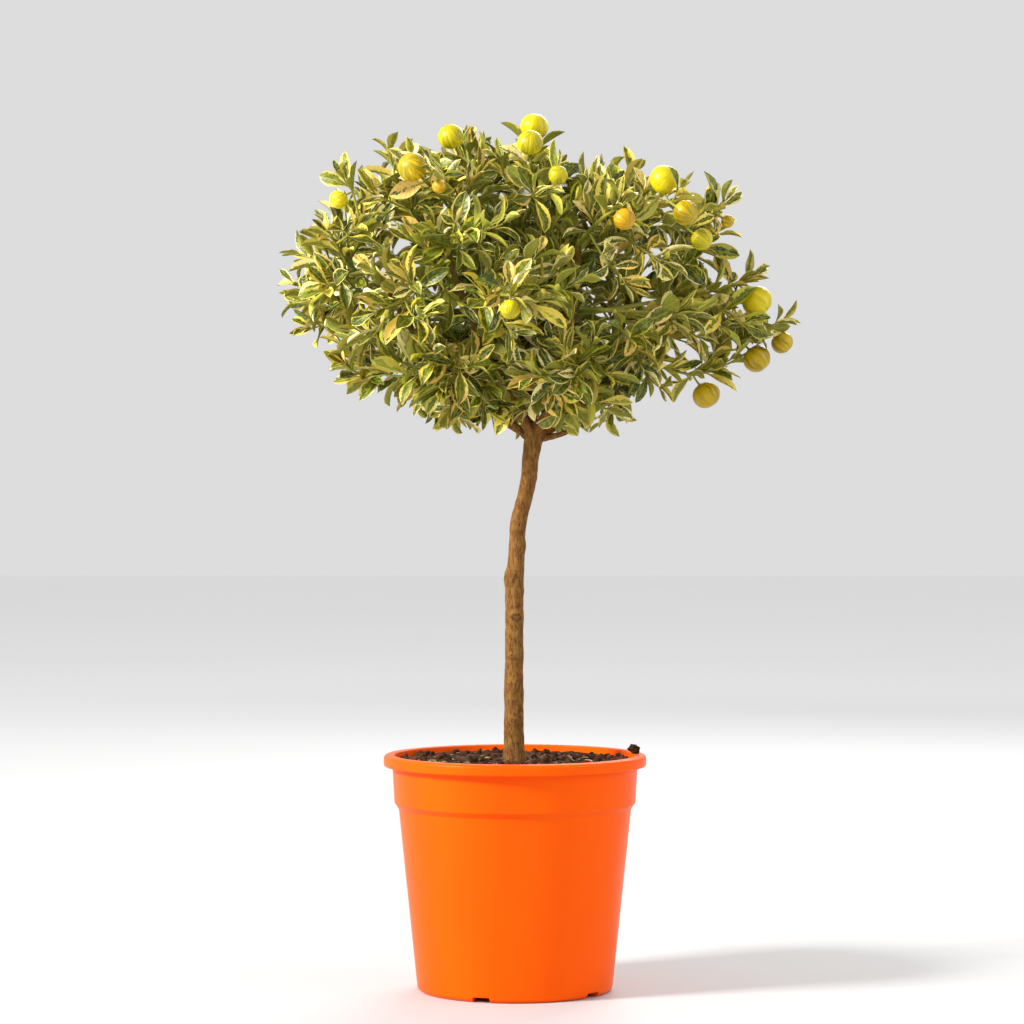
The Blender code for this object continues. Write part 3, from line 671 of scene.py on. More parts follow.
def smooth_path(points: Sequence[Vector], count: int) -> list[Vector]:
    """Even steps on a Catmull-Rom curve.

    Args:
        points: What the curve passes through, of any number of dimensions.
        count: How many points to return.

    Returns:
        The points.
    """
    path = []
    for i in range(count):
        place = (len(points) - 1) * i / (count - 1)
        k = min(int(place), len(points) - 2)
        t = place - k
        before, here, after = points[max(k - 1, 0)], points[k], points[k + 1]
        beyond = points[min(k + 2, len(points) - 1)]
        bend = 2 * before - 5 * here + 4 * after - beyond
        swing = 3 * here - before - 3 * after + beyond
        path.append(0.5 * (2 * here + (after - before) * t + bend * t**2 + swing * t**3))
    return path


def arch_path(start: Vector, knee: Vector, end: Vector, count: int) -> list[Vector]:
    """Points on a quadratic arch from start to end that heads for the knee."""
    steps = (i / (count - 1) for i in range(count))
    return [start.lerp(knee, t).lerp(knee.lerp(end, t), t) for t in steps]


def frames_along(path: Sequence[Vector]) -> list[Matrix]:
    """Frames that follow a path without twisting.

    Args:
        path: The path's points.

    Returns:
        A matrix for each point, with its Z axis along the path.
    """
    frames = []
    side = (path[1] - path[0]).orthogonal().normalized()
    for i, point in enumerate(path):
        ahead = (path[min(i + 1, len(path) - 1)] - path[max(i - 1, 0)]).normalized()
        side = (side - ahead * side.dot(ahead)).normalized()
        rows = Matrix((side, ahead.cross(side), ahead)).transposed().to_4x4()
        frames.append(Matrix.Translation(point) @ rows)
    return frames


def arc(
    centre: tuple[float, float], radius: float, start: float, end: float
) -> list[tuple[float, float]]:
    """Points on an arc in the (radius, height) plane, every 15 degrees or less.

    Args:
        centre: The arc's centre.
        radius: Its radius.
        start: The angle that it starts at, in degrees.
        end: The angle that it ends at.

    Returns:
        The points.
    """
    steps = max(2, math.ceil(abs(end - start) / 15.0))
    turns = (math.radians(start + (end - start) * i / steps) for i in range(steps + 1))
    return [(centre[0] + radius * math.cos(t), centre[1] + radius * math.sin(t)) for t in turns]


def fractal(place: Vector, size: float, layers: int = 4) -> float:
    """Layered noise of about -1 to 1 whose widest lumps are size across."""
    return noise.fractal(place / size, 0.8, 2.1, layers)


class Solid:
    """A mesh under construction, with the operators that the pieces are made with."""

    def __init__(self) -> None:
        """Starts an empty mesh."""
        self.bm = bmesh.new()

    def sweep(
        self, path: Sequence[Vector], radii: Sequence[float], sides: int
    ) -> dict[bmesh.types.BMVert, tuple[int, int]]:
        """Extrudes a round section along a path and closes its ends.

        Args:
            path: Points of the centreline.
            radii: The radius at each of them.
            sides: How many sides the section has.

        Returns:
            For each new vertex, the number of its ring and its place in the ring.
        """
        frames = frames_along(path)
        sized = [f @ Matrix.Diagonal((r, r, 1.0, 1.0)) for f, r in zip(frames, radii)]
        made = bmesh.ops.create_circle(self.bm, segments=sides, radius=1.0)
        ring = made["verts"]
        bmesh.ops.transform(self.bm, matrix=sized[0], verts=ring)
        edges = [self.bm.edges.get((a, b)) for a, b in zip(ring, ring[1:] + ring[:1])]
        places = {vert: (0, k) for k, vert in enumerate(ring)}
        first, faces = edges, []
        for i in range(1, len(path)):
            geom = bmesh.ops.extrude_edge_only(self.bm, edges=edges)["geom"]
            verts = [g for g in geom if isinstance(g, bmesh.types.BMVert)]
            faces += [g for g in geom if isinstance(g, bmesh.types.BMFace)]
            fresh = set(verts)
            edges = [
                g
                for g in geom
                if isinstance(g, bmesh.types.BMEdge) and fresh.issuperset(g.verts)
            ]
            step = sized[i] @ sized[i - 1].inverted()
            for vert in verts:
                others = (edge.other_vert(vert) for edge in vert.link_edges)
                old = next(v for v in others if v in places and places[v][0] == i - 1)
                places[vert] = (i, places[old][1])
            bmesh.ops.transform(self.bm, matrix=step, verts=verts)
        faces += bmesh.ops.edgeloop_fill(self.bm, edges=first)["faces"]
        faces += bmesh.ops.edgeloop_fill(self.bm, edges=edges)["faces"]
        bmesh.ops.recalc_face_normals(self.bm, faces=faces)
        return places

    def turn(self, profile: Sequence[tuple[float, float]], sides: int) -> None:
        """Spins a section about the Z axis.

        Args:
            profile: The section's (radius, height) points in order.
            sides: How many steps the full turn has.
        """
        points = [self.bm.verts.new((radius, 0.0, height)) for radius, height in profile]
        edges = [self.bm.edges.new(pair) for pair in zip(points, points[1:])]
        bmesh.ops.spin(
            self.bm,
            geom=points + edges,
            cent=(0.0, 0.0, 0.0),
            axis=(0.0, 0.0, 1.0),
            angle=math.tau,
            steps=sides,
            use_merge=True,
        )
        bmesh.ops.remove_doubles(self.bm, verts=self.bm.verts, dist=0.00002)
        bmesh.ops.recalc_face_normals(self.bm, faces=self.bm.faces)

    def lump(self, place: Vector, size: Vector, detail: int, chance: random.Random) -> None:
        """Adds an uneven crumb.

        Args:
            place: Its middle.
            size: Its half sizes.
            detail: How often its icosphere is divided.
            chance: Where its turn and its unevenness come from.
        """
        made = bmesh.ops.create_icosphere(self.bm, subdivisions=detail, radius=1.0)
        seed = Vector((chance.uniform(-50, 50), chance.uniform(-50, 50), 0.0))
        for vert in made["verts"]:
            vert.co *= 1.0 + 0.45 * noise.noise(vert.co * 1.3 + seed)
        axis = Vector((chance.uniform(-1, 1), chance.uniform(-1, 1), chance.uniform(-1, 1)))
        turned = Matrix.Rotation(chance.uniform(0, math.tau), 4, axis.normalized())
        scale = Matrix.Diagonal((*size, 1.0))
        matrix = Matrix.Translation(place) @ turned @ scale
        bmesh.ops.transform(self.bm, matrix=matrix, verts=made["verts"])

    def mesh(self, name: str, sharp: float = 40.0) -> bpy.types.Mesh:
        """Writes the mesh out, smooth-shaded.

        Args:
            name: The mesh's name.
            sharp: Edges that bend by more than this many degrees stay sharp.

        Returns:
            The mesh.
        """
        made = bpy.data.meshes.new(name)
        self.bm.to_mesh(made)
        self.bm.free()
        made.shade_smooth()
        if sharp < 180.0:
            made.set_sharp_from_angle(angle=math.radians(sharp))
        return made


def settle(
    name: str, mesh: bpy.types.Mesh, slot: str, replaced: Iterable[str], *finishes: Any
) -> bpy.types.Object:
    """Puts a finished piece in the scene, hangs it on the root body and hides the CAD nodes that
    it stands for.

    Args:
        name: The piece's name.
        mesh: Its mesh, in the part's frame.
        slot: Not used.
        replaced: The CAD nodes that it stands for.
        finishes: Its materials.

    Returns:
        The piece.
    """
    piece = put(name, mesh)
    for finish in finishes:
        mesh.materials.append(finish)
    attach(piece, "root")
    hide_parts(*replaced)
    LOG.info("%s: %d faces, stands for %s", name, len(mesh.polygons), ", ".join(replaced))
    return piece


def evaluated_mesh(piece: bpy.types.Object) -> bpy.types.Mesh:
    """A copy of a piece's mesh with its modifiers applied."""
    graph = bpy.context.evaluated_depsgraph_get()
    return bpy.data.meshes.new_from_object(piece.evaluated_get(graph))


# ---------------------------------------------------------------------------------- pot


@dataclass
class Pot:
    """The moulded pot: rolled lip, collar, step, tapered body and notched foot."""

    height: float = 0.197
    rim_radius: float = 0.110
    wall: float = 0.0018
    lip_height: float = 0.0095
    collar_radius: float = 0.1027
    collar_low_radius: float = 0.1010
    step_top: float = 0.157
    step_bottom: float = 0.152
    body_radius: float = 0.0973
    foot_radius: float = 0.082
    foot_round: float = 0.004
    ring_width: float = 0.005
    recess: float = 0.005
    pad_radius: float = 0.018
    notch_width: float = 0.015
    notch_height: float = 0.0044
    notch_azimuth: float = -20.0
    notches: int = 5
    drain_circle: float = 0.0574
    drain_radius: float = 0.005
    lip_soft: float = 0.0032
    lip_low_soft: float = 0.0016
    inner_soft: float = 0.0012
    step_soft: float = 0.0014
    notch_soft: float = 0.0011
    sharp: float = 38.0
    sides: int = 160
    finish: MouldedPlastic = field(default_factory=MouldedPlastic)

    def inside(self) -> list[tuple[float, float]]:
        """The inner wall's (radius, height) points, from the floor up to the rim."""
        floor = self.recess + self.wall
        taper = (self.body_radius - self.foot_radius) / self.step_bottom
        return [
            (self.foot_radius + taper * floor - self.wall, floor),
            (self.body_radius - self.wall, self.step_bottom),
            (self.collar_low_radius - self.wall, self.step_top),
            (self.collar_radius - self.wall, self.height - self.wall),
        ]

    def profile(self) -> list[tuple[float, float]]:
        """The section, from the middle of the floor over the lip to the underside."""
        lip_low = self.height - self.lip_height
        soft, under, inner, bend = (
            self.lip_soft,
            self.lip_low_soft,
            self.inner_soft,
            self.step_soft,
        )
        outer = self.rim_radius
        step_out, step_in = self.collar_low_radius, self.body_radius
        foot = (self.foot_radius - self.foot_round, self.foot_round)
        ring_in = self.foot_radius - self.foot_round - self.ring_width
        inner_wall = self.collar_radius - self.wall
        return [
            (0.0, self.recess + self.wall),
            *self.inside()[:-1],
            (inner_wall, self.height - inner),
            *arc((inner_wall + inner, self.height - inner), inner, 180, 90),
            *arc((outer - soft, self.height - soft), soft, 90, 0),
            *arc((outer - under, lip_low + under), under, 0, -90),
            (self.collar_radius + 0.0022, lip_low),
            (self.collar_radius + 0.0004, lip_low - 0.0004),
            (self.collar_radius - 0.0001, lip_low - 0.0030),
            (step_out + 0.00012, self.step_top + 0.0016),
            *arc((step_out - bend, self.step_top + 0.0002), bend, 0, -55),
            *reversed(arc((step_in + 0.0016, self.step_bottom - 0.0004), bend, 180, 125)),
            (step_in - 0.00030, self.step_bottom - 0.004),
            *arc(foot, self.foot_round, 0, -90),
            (ring_in, 0.0),
            (ring_in, self.recess),
            (self.pad_radius + 0.0006, self.recess),
            (self.pad_radius, self.recess - 0.0006),
            (self.pad_radius, 0.0),
            (0.0, 0.0),
        ]

    def cutter(self) -> bpy.types.Object:
        """The notches and drain holes as one cutting object."""
        solid = Solid()
        depth = self.foot_round + self.ring_width
        for i in range(self.notches):
            azimuth = self.notch_azimuth + 360.0 * i / self.notches
            turned = Matrix.Rotation(math.radians(azimuth), 4, "Z")
            size = Matrix.Diagonal((self.notch_width, 2 * depth, 2 * self.notch_height, 1.0))
            shift = Matrix.Translation((0.0, -self.foot_radius + 0.2 * depth, 0.0))
            box = bmesh.ops.create_cube(solid.bm, size=1.0, matrix=turned @ shift @ size)
            ends = [e for v in box["verts"] for e in v.link_edges]
            upper = {e for e in ends if all(v.co.z > 0.001 for v in e.verts)}
            bmesh.ops.bevel(
                solid.bm,
                geom=list(upper),
                offset=self.notch_soft,
                segments=3,
                profile=0.5,
                affect="EDGES",
                material=-1,
            )
            hole = Matrix.Translation(heading(azimuth, 0.0) * self.drain_circle)
            bmesh.ops.create_cone(
                solid.bm,
                cap_ends=True,
                segments=24,
                radius1=self.drain_radius,
                radius2=self.drain_radius,
                depth=0.04,
                matrix=hole,
            )
        return put("pot_cutter", solid.mesh("pot_cutter"))

    def build(self) -> bpy.types.Object:
        """Builds the pot and puts it in place.

        Returns:
            The piece.
        """
        solid = Solid()
        solid.turn(self.profile(), self.sides)
        blank = put("pot_blank", solid.mesh("pot_blank"))
        tool = self.cutter()
        cut = blank.modifiers.new("notches", "BOOLEAN")
        cut.operation, cut.object, cut.solver = "DIFFERENCE", tool, "EXACT"
        mesh = evaluated_mesh(blank)
        bpy.data.objects.remove(blank)
        bpy.data.objects.remove(tool)
        mesh.shade_smooth()
        mesh.set_sharp_from_angle(angle=math.radians(self.sharp))
        return settle("moulded_pot", mesh, "orange_plastic", ["pot"], self.finish.make())


# ---------------------------------------------------------------------------- the mix


@dataclass
class PottingMix:
    """The peat in the pot, its crumbs, the clod on the rim and what has fallen on it."""

    pot: Pot
    top: float = 0.190
    gap: float = 0.0004
    rings: int = 46
    sides: int = 180
    crumbs: int = 620
    crumb_circle: float = 0.096
    crumb_clearance: float = 0.0105
    crumb_sizes: tuple[float, float] = (0.0008, 0.0042)
    fine_crumb: float = 0.0022
    straws: int = 46
    straw_circle: float = 0.090
    straw_clearance: float = 0.014
    straw_lengths: tuple[float, float] = (0.004, 0.013)
    straw_radii: tuple[float, float] = (0.00022, 0.00055)
    clod_lumps: int = 9
    leaf_length: float = 0.0150
    seed: int = 21

    def height_at(self, x: float, y: float) -> float:
        """Height of the lumpy surface at a place."""
        place = Vector((x, y, 0.0))
        wide = fractal(place, 0.045, 2) * 0.0011
        lumps = fractal(place + Vector((3.0, 1.0, 0.0)), 0.012, 4) * 0.0013
        near, _ = noise.voronoi(place / 0.0065)
        crumb = 0.0011 * (0.5 - min(near[0], 1.0))
        distance = math.hypot(x, y)
        slope = 0.0018 * math.exp(-distance / 0.02) + 0.0022 * (distance / 0.1) ** 3
        return self.top + wide + lumps + crumb + slope

    @staticmethod
    def spots(
        count: int, circle: float, clearance: float, chance: random.Random
    ) -> Iterator[tuple[float, float]]:
        """Random places on the mix that keep clear of the stem.

        Args:
            count: How many to try.
            circle: The radius that they stay in.
            clearance: The radius that they stay out of.
            chance: Where they come from.

        Yields:
            Each place.
        """
        for _ in range(count):
            turn, distance = chance.uniform(0, math.tau), circle * math.sqrt(chance.random())
            if distance >= clearance:
                yield distance * math.cos(turn), distance * math.sin(turn)

    def body(self, peat: bpy.types.Material) -> None:
        """Builds the mix itself.

        Args:
            peat: Its material.
        """
        walls = [(radius - self.gap, height) for radius, height in self.pot.inside()]
        floor = walls[0][1] + self.gap
        (low_radius, low), (high_radius, high) = walls[2], walls[3]
        share = (self.top - low) / (high - low)
        rim = low_radius + (high_radius - low_radius) * share
        top = [(rim * i / self.rings, self.top) for i in range(self.rings)]
        sides = [(rim, self.top - 0.0012), *reversed(walls[1:3]), (walls[0][0], floor)]
        solid = Solid()
        solid.turn([*top, (rim, self.top), *sides, (0.0, floor)], self.sides)
        for vert in solid.bm.verts:
            if vert.co.z > self.top - 0.0006:
                fade = min(1.0, (rim - math.hypot(vert.co.x, vert.co.y)) / 0.003 + 0.5)
                rise = self.height_at(vert.co.x, vert.co.y) - self.top
                vert.co.z += rise * fade
        mesh = solid.mesh("peat", 180.0)
        settle("potting_peat", mesh, "dark_mix", ["potting_mix"], peat)

    def loose_crumbs(self, peat: bpy.types.Material) -> None:
        """Scatters loose crumbs of many sizes over the mix.

        Args:
            peat: Their material.
        """
        chance = random.Random(self.seed)
        solid = Solid()
        smallest, largest = self.crumb_sizes
        for x, y in self.spots(self.crumbs, self.crumb_circle, self.crumb_clearance, chance):
            size = smallest + (largest - smallest) * chance.random() ** 3
            place = Vector((x, y, self.height_at(x, y) + 0.25 * size))
            width = size * chance.uniform(0.6, 0.9)
            half = Vector((size, width, size * chance.uniform(0.45, 0.75)))
            solid.lump(place, half, 2 if size > self.fine_crumb else 1, chance)
        settle("loose_crumbs", solid.mesh("crumbs", 60.0), "dark_mix", [], peat)

    def clod(self, peat: bpy.types.Material) -> None:
        """The clod of peat that lies on the rim.

        Args:
            peat: Its material.
        """
        chance = random.Random(self.seed + 1)
        lo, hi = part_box("peat_clod")
        middle = (lo + hi) / 2 - UP * 0.0012
        solid = Solid()
        half = (hi - lo) / 2
        solid.lump(middle, half * 0.74, 4, chance)
        for _ in range(self.clod_lumps):
            shift = heading(chance.uniform(0, 360), chance.uniform(-20, 60))
            place = middle + Vector(a * b * 0.6 for a, b in zip(shift, half))
            solid.lump(place, half * chance.uniform(0.22, 0.42), 2, chance)
        for vert in solid.bm.verts:
            vert.co += (vert.co - middle).normalized() * fractal(vert.co, 0.0035, 4) * 0.0011
            vert.co.z = max(vert.co.z, lo.z)
        settle("rim_clod", solid.mesh("clod", 70.0), "dark_mix", ["peat_clod"], peat)

    def straw(self, dry: bpy.types.Material) -> None:
        """Scatters bits of straw and fibre over the mix.

        Args:
            dry: Their material.
        """
        chance = random.Random(self.seed + 2)
        solid = Solid()
        for x, y in self.spots(self.straws, self.straw_circle, self.straw_clearance, chance):
            lie = heading(chance.uniform(0, 360), chance.uniform(-4, 12))
            length = chance.uniform(*self.straw_lengths)
            start = Vector((x, y, self.height_at(x, y) + 0.0009))
            end = start + lie * length
            knee = start.lerp(end, 0.5) + UP * chance.uniform(0.0, 0.0016)
            radius = chance.uniform(*self.straw_radii)
            solid.sweep(arch_path(start, knee, end, 5), [radius] * 4 + [radius * 0.5], 5)
        settle("straw_bits", solid.mesh("straw", 60.0), "dry_leaf", [], dry)

    def fallen_leaves(self, leaves: "LeafShapes", dry: bpy.types.Material) -> None:
        """Dry leaves where the frame has them.

        Args:
            leaves: The leaf shapes.
            dry: Their material.
        """
        chance = random.Random(self.seed + 3)
        for number in range(1, 4):
            node = f"fallen_leaf_{number}"
            lo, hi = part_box(node)
            size = hi - lo
            along = Vector((size.x, size.y, 0.0)).normalized()
            if number == 3:
                along.y = -along.y
            solid = Solid()
            solid.bm.from_mesh(leaves.forms[(number + 1) % len(leaves.forms)])
            across = along.cross(UP)
            tilt = Matrix.Rotation(chance.uniform(-0.35, 0.35), 3, along)
            rows = Matrix((tilt @ across, along, tilt @ UP)).transposed().to_4x4()
            scale = Matrix.Scale(self.leaf_length, 4)
            base = (lo + hi) / 2 - along * (self.leaf_length / 2)
            base.z = lo.z + 0.0004
            matrix = Matrix.Translation(base) @ rows @ scale
            bmesh.ops.transform(solid.bm, matrix=matrix, verts=solid.bm.verts)
            low = min(v.co.z for v in solid.bm.verts)
            bmesh.ops.translate(solid.bm, vec=(0, 0, lo.z - low), verts=solid.bm.verts)
            mesh = solid.mesh(node, 60.0)
            settle(f"dead_leaf_{number}", mesh, "dry_leaf", [node], dry)

    def build(self, leaves: "LeafShapes") -> None:
        """Builds the mix and everything that lies on it.

        Args:
            leaves: The leaf shapes, for the fallen ones.
        """
        peat, dry = PottingPeat().make(), DryMatter().make()
        self.body(peat)
        self.loose_crumbs(peat)
        self.clod(peat)
        self.straw(dry)
        self.fallen_leaves(leaves, dry)


# ------------------------------------------------------------------------------- crown


@dataclass(frozen=True)
class Limb:
    """A main limb: azimuth and elevation as it leaves the fork, and its share of the way."""

    azimuth: float
    elevation: float
    share: float


@dataclass(frozen=True)
class FruitPlace:
    """A fruit: its place in shares of the crown's radius, its diameter and its ripeness."""

    sideways: float
    depth: float
    up: float
    diameter: float
    ripeness: Ripeness


LIMBS = (
    Limb(92.0, 24.0, 0.55),
    Limb(268.0, 27.0, 0.55),
    Limb(32.0, 42.0, 0.55),
    Limb(148.0, 38.0, 0.55),
    Limb(212.0, 44.0, 0.55),
    Limb(325.0, 40.0, 0.55),
    Limb(290.0, 84.0, 0.62),
)

FRUITS = (
    FruitPlace(-0.41, -0.69, 0.43, 0.0235, Ripeness.STRIPED),
    FruitPlace(-0.26, -0.50, 0.57, 0.0210, Ripeness.YELLOW),
    FruitPlace(-0.30, -0.82, 0.34, 0.0110, Ripeness.AMBER),
    FruitPlace(-0.71, -0.57, 0.31, 0.0150, Ripeness.LEMON),
    FruitPlace(-0.02, -0.96, -0.15, 0.0160, Ripeness.YELLOW),
    FruitPlace(0.08, -0.12, 0.65, 0.0235, Ripeness.LEMON),
    FruitPlace(0.06, -0.55, 0.54, 0.0210, Ripeness.YELLOW),
    FruitPlace(0.17, -0.77, 0.39, 0.0155, Ripeness.YELLOW),
    FruitPlace(0.43, -0.85, 0.21, 0.0175, Ripeness.AMBER),
    FruitPlace(0.60, -0.56, 0.39, 0.0240, Ripeness.LEMON),
    FruitPlace(0.68, -0.66, 0.25, 0.0205, Ripeness.STRIPED),
    FruitPlace(0.75, -0.58, 0.15, 0.0180, Ripeness.YELLOW),
    FruitPlace(0.86, -0.47, 0.23, 0.0110, Ripeness.STRIPED),
    FruitPlace(1.01, -0.05, -0.07, 0.0260, Ripeness.LEMON),
    # Fruits 15 to 17 and 21 hang in the crown's shade, and their olive rind is painted shade.
    FruitPlace(1.12, 0.02, -0.24, 0.0190, Ripeness.OLIVE),
    FruitPlace(1.01, -0.04, -0.31, 0.0235, Ripeness.OLIVE),
    FruitPlace(0.80, -0.02, -0.46, 0.0235, Ripeness.OLIVE),
    FruitPlace(0.46, 0.68, 0.32, 0.0225, Ripeness.YELLOW),
    FruitPlace(-0.10, 0.93, 0.06, 0.0210, Ripeness.STRIPED),
    FruitPlace(-0.52, 0.55, 0.42, 0.0235, Ripeness.LEMON),
    FruitPlace(-0.86, 0.32, -0.08, 0.0215, Ripeness.OLIVE),
    FruitPlace(0.12, 0.45, 0.58, 0.0190, Ripeness.YELLOW),
)


@dataclass(frozen=True)
class Crown:
    """The crown's outline, and the rules that say where its limbs and boughs go."""

    radius: float = 0.200
    depth: float = 0.186
    middle_height: float = 0.590
    outline: tuple[float, ...] = (
        *(0.87, 0.98, 0.88, 0.73, 0.65, 0.64, 0.62, 0.67, 0.73, 0.86, 0.91, 0.95),
        *(1.00, 0.94, 0.83, 0.63, 0.71, 0.65, 0.61, 0.61, 0.69, 0.74, 0.83, 0.90),
    )
    rows: tuple[tuple[float, int, float], ...] = (
        (-33.0, 6, 25.0),
        (-10.0, 7, 8.0),
        (14.0, 7, 34.0),
        (42.0, 5, 80.0),
        (70.0, 2, 100.0),
    )
    fruiting: tuple[Triple, ...] = (
        (84.0, -10.0, 1.16),
        (50.0, 24.0, 0.92),
        (74.0, 22.0, 0.95),
        (346.0, 40.0, 0.92),
    )
    reach_share: float = 0.89
    pull: float = 0.055
    stalk: float = 0.007
    stalk_join: float = 0.002
    squash: float = 0.93

    def middle(self) -> Vector:
        """The crown's middle."""
        return Vector((0.0, 0.0, self.middle_height))

    def reach(self, direction: Vector) -> float:
        """Distance from the middle to the crown's outside along a unit direction."""
        step = math.tau / len(self.outline)
        place = (math.atan2(direction.z, direction.x) % math.tau) / step
        low = int(place) % len(self.outline)
        high = (low + 1) % len(self.outline)
        share = self.outline[low] + (self.outline[high] - self.outline[low]) * (place % 1)
        across = math.hypot(direction.x, direction.z) / (share * self.radius)
        return 1 / math.hypot(across, direction.y / self.depth)

    def point(self, azimuth: float, elevation: float, share: float) -> Vector:
        """A point at a share of the crown's reach in a direction."""
        direction = heading(azimuth, elevation)
        return self.middle() + direction * self.reach(direction) * share

    def fruit_centre(self, fruit: FruitPlace) -> Vector:
        """The middle of a fruit."""
        place = Vector((fruit.sideways, fruit.depth, fruit.up)) * self.radius
        return self.middle() + place

    def stalk_direction(self, fruit: FruitPlace) -> Vector:
        """The way a fruit's stalk points."""
        centre = self.fruit_centre(fruit)
        inwards = (self.middle() - centre).normalized()
        if centre.z < self.middle_height + 0.35 * self.radius:
            inwards.z += 0.8
        return inwards.normalized()

    def stalk_end(self, fruit: FruitPlace) -> Vector:
        """Where a fruit's stalk meets its twig."""
        above = fruit.diameter / 2 * self.squash + self.stalk + self.stalk_join
        return self.fruit_centre(fruit) + self.stalk_direction(fruit) * above

    def tips(self) -> list[Vector]:
        """Where each bough ends, in the order of the boughs' numbers."""
        tips = [
            self.point(first + 360.0 * i / number, elevation, self.reach_share)
            for elevation, number, first in self.rows
            for i in range(number)
        ]
        tips += [self.point(*place) for place in self.fruiting]
        moved: set[int] = set()
        for fruit in FRUITS:
            end = self.stalk_end(fruit)
            near = min(range(len(tips)), key=lambda i: (tips[i] - end).length)
            if near not in moved and (tips[near] - end).length < self.pull:
                tips[near] = end
                moved.add(near)
        return tips


# -------------------------------------------------------------------------------- stem


@dataclass(frozen=True)
class Knot:
    """A bulge where a shoot was cut: height, azimuth, width, rise and how dark it is."""

    height: float
    azimuth: float
    width: float
    rise: float
    darkness: float = 0.5


@dataclass
class Stem:
    """The bare stem and its limbs, grown together as one woody piece."""

    crown: Crown
    foot: float = 0.142
    mix_top: float = 0.190
    fork: float = 0.461
    radius: float = 0.0075
    wander: tuple[tuple[float, float, float, float], ...] = (
        (0.00, 0.0000, 0.0000, 1.25),
        (0.05, -0.0006, 0.0000, 1.12),
        (0.13, -0.0010, 0.0005, 1.02),
        (0.26, -0.0008, 0.0016, 1.00),
        (0.48, -0.0006, 0.0022, 0.97),
        (0.57, -0.0002, 0.0016, 0.98),
        (0.66, 0.0016, 0.0004, 0.84),
        (0.74, 0.0028, -0.0008, 0.84),
        (0.81, 0.0074, -0.0014, 0.82),
        (0.87, 0.0112, -0.0012, 0.84),
        (0.94, 0.0130, -0.0006, 0.88),
        (1.00, 0.0155, 0.0000, 1.02),
    )
    knots: tuple[Knot, ...] = (
        Knot(0.346, 275.0, 0.0080, 0.0018, 0.8),
        Knot(0.311, 14.0, 0.0076, 0.0015, 1.0),
        Knot(0.277, 348.0, 0.0055, 0.0007, 0.6),
        Knot(0.2260, 0.0, 0.0040, 0.0005, 0.8),
        Knot(0.2265, 33.0, 0.0036, 0.0005, 0.8),
        Knot(0.249, 130.0, 0.0060, 0.0012),
        Knot(0.372, 100.0, 0.0060, 0.0010),
        Knot(0.395, 205.0, 0.0062, 0.0012),
        Knot(0.428, 40.0, 0.0060, 0.0010, 0.4),
        Knot(0.302, 190.0, 0.0068, 0.0013, 0.9),
        Knot(0.334, 80.0, 0.0050, 0.0008, 0.5),
    )
    stubs: tuple[tuple[float, float, float, float, float], ...] = (
        (72.0, 12.0, 0.030, 0.0034, 0.000),
        (305.0, 36.0, 0.020, 0.0024, -0.004),
        (10.0, 58.0, 0.024, 0.0030, 0.004),
        (188.0, 30.0, 0.018, 0.0028, 0.002),
    )
    limb_radius: float = 0.0043
    limb_tip_radius: float = 0.0024
    grain: float = 0.00095
    smoothing: float = 0.0005
    voxel: float = 0.00085

    def line(self, count: int) -> tuple[list[Vector], list[float]]:
        """The stem's centreline and radii.

        Args:
            count: How many points to return.

        Returns:
            The points and the radius at each.
        """
        marks = [Vector((0.0, 0.0, self.foot, 0.86 * self.radius * self.wander[0][3]))]
        for share, x, y, swell in self.wander:
            height = self.mix_top + (self.fork - self.mix_top) * share
            marks.append(Vector((x, y, height, self.radius * swell)))
        marks.append(marks[-1] + Vector((0.001, 0.0, 0.012, -0.22 * self.radius)))
        path = smooth_path(marks, count)
        return [point.xyz for point in path], [point.w for point in path]

    def limb_line(self, limb: Limb, count: int = 7) -> list[Vector]:
        """One limb's centreline, from inside the fork outwards.

        Args:
            limb: The limb.
            count: How many points to return.

        Returns:
            The points.
        """
        fork = self.line(22)[0][-2]
        start = fork - UP * 0.004
        leaving = heading(limb.azimuth, limb.elevation)
        level = heading(limb.azimuth, max(limb.elevation - 26.0, -4.0))
        crown = self.crown
        end = crown.middle() + level * crown.reach(level) * limb.share
        if limb.elevation > 60.0:
            end = crown.middle() + leaving * crown.reach(leaving) * (limb.share - 0.3)
        knee = start + leaving * (end - start).length * 0.5
        return arch_path(start, knee, end, count)

    def knot_places(self) -> list[tuple[Vector, Knot]]:
        """Each knot with its place on the bark."""
        points, radii = self.line(200)
        places = []
        for knot in self.knots:
            at = min(range(len(points)), key=lambda i: abs(points[i].z - knot.height))
            out = heading(knot.azimuth, 0.0)
            places.append((points[at] + out * radii[at], knot))
        return places

    def raw_wood(self) -> bpy.types.Object:
        """The stem, limbs and stubs as overlapping closed tubes in one object."""
        solid = Solid()
        points, radii = self.line(90)
        solid.sweep(points, [radius + self.smoothing for radius in radii], 24)
        for limb in LIMBS:
            line = self.limb_line(limb, 24)
            fall = self.limb_tip_radius - self.limb_radius
            solid.sweep(line, [self.limb_radius + fall * k / 23 for k in range(24)], 14)
        for azimuth, elevation, length, radius, high in self.stubs:
            start = points[-8] + UP * high
            end = start + heading(azimuth, elevation) * length
            knee = start.lerp(end, 0.55) - UP * 0.002
            line = arch_path(start, knee, end, 8)
            solid.sweep(line, [radius * (1.0 - 0.05 * k) for k in range(8)], 10)
        return put("raw_wood", solid.mesh("raw_wood"))

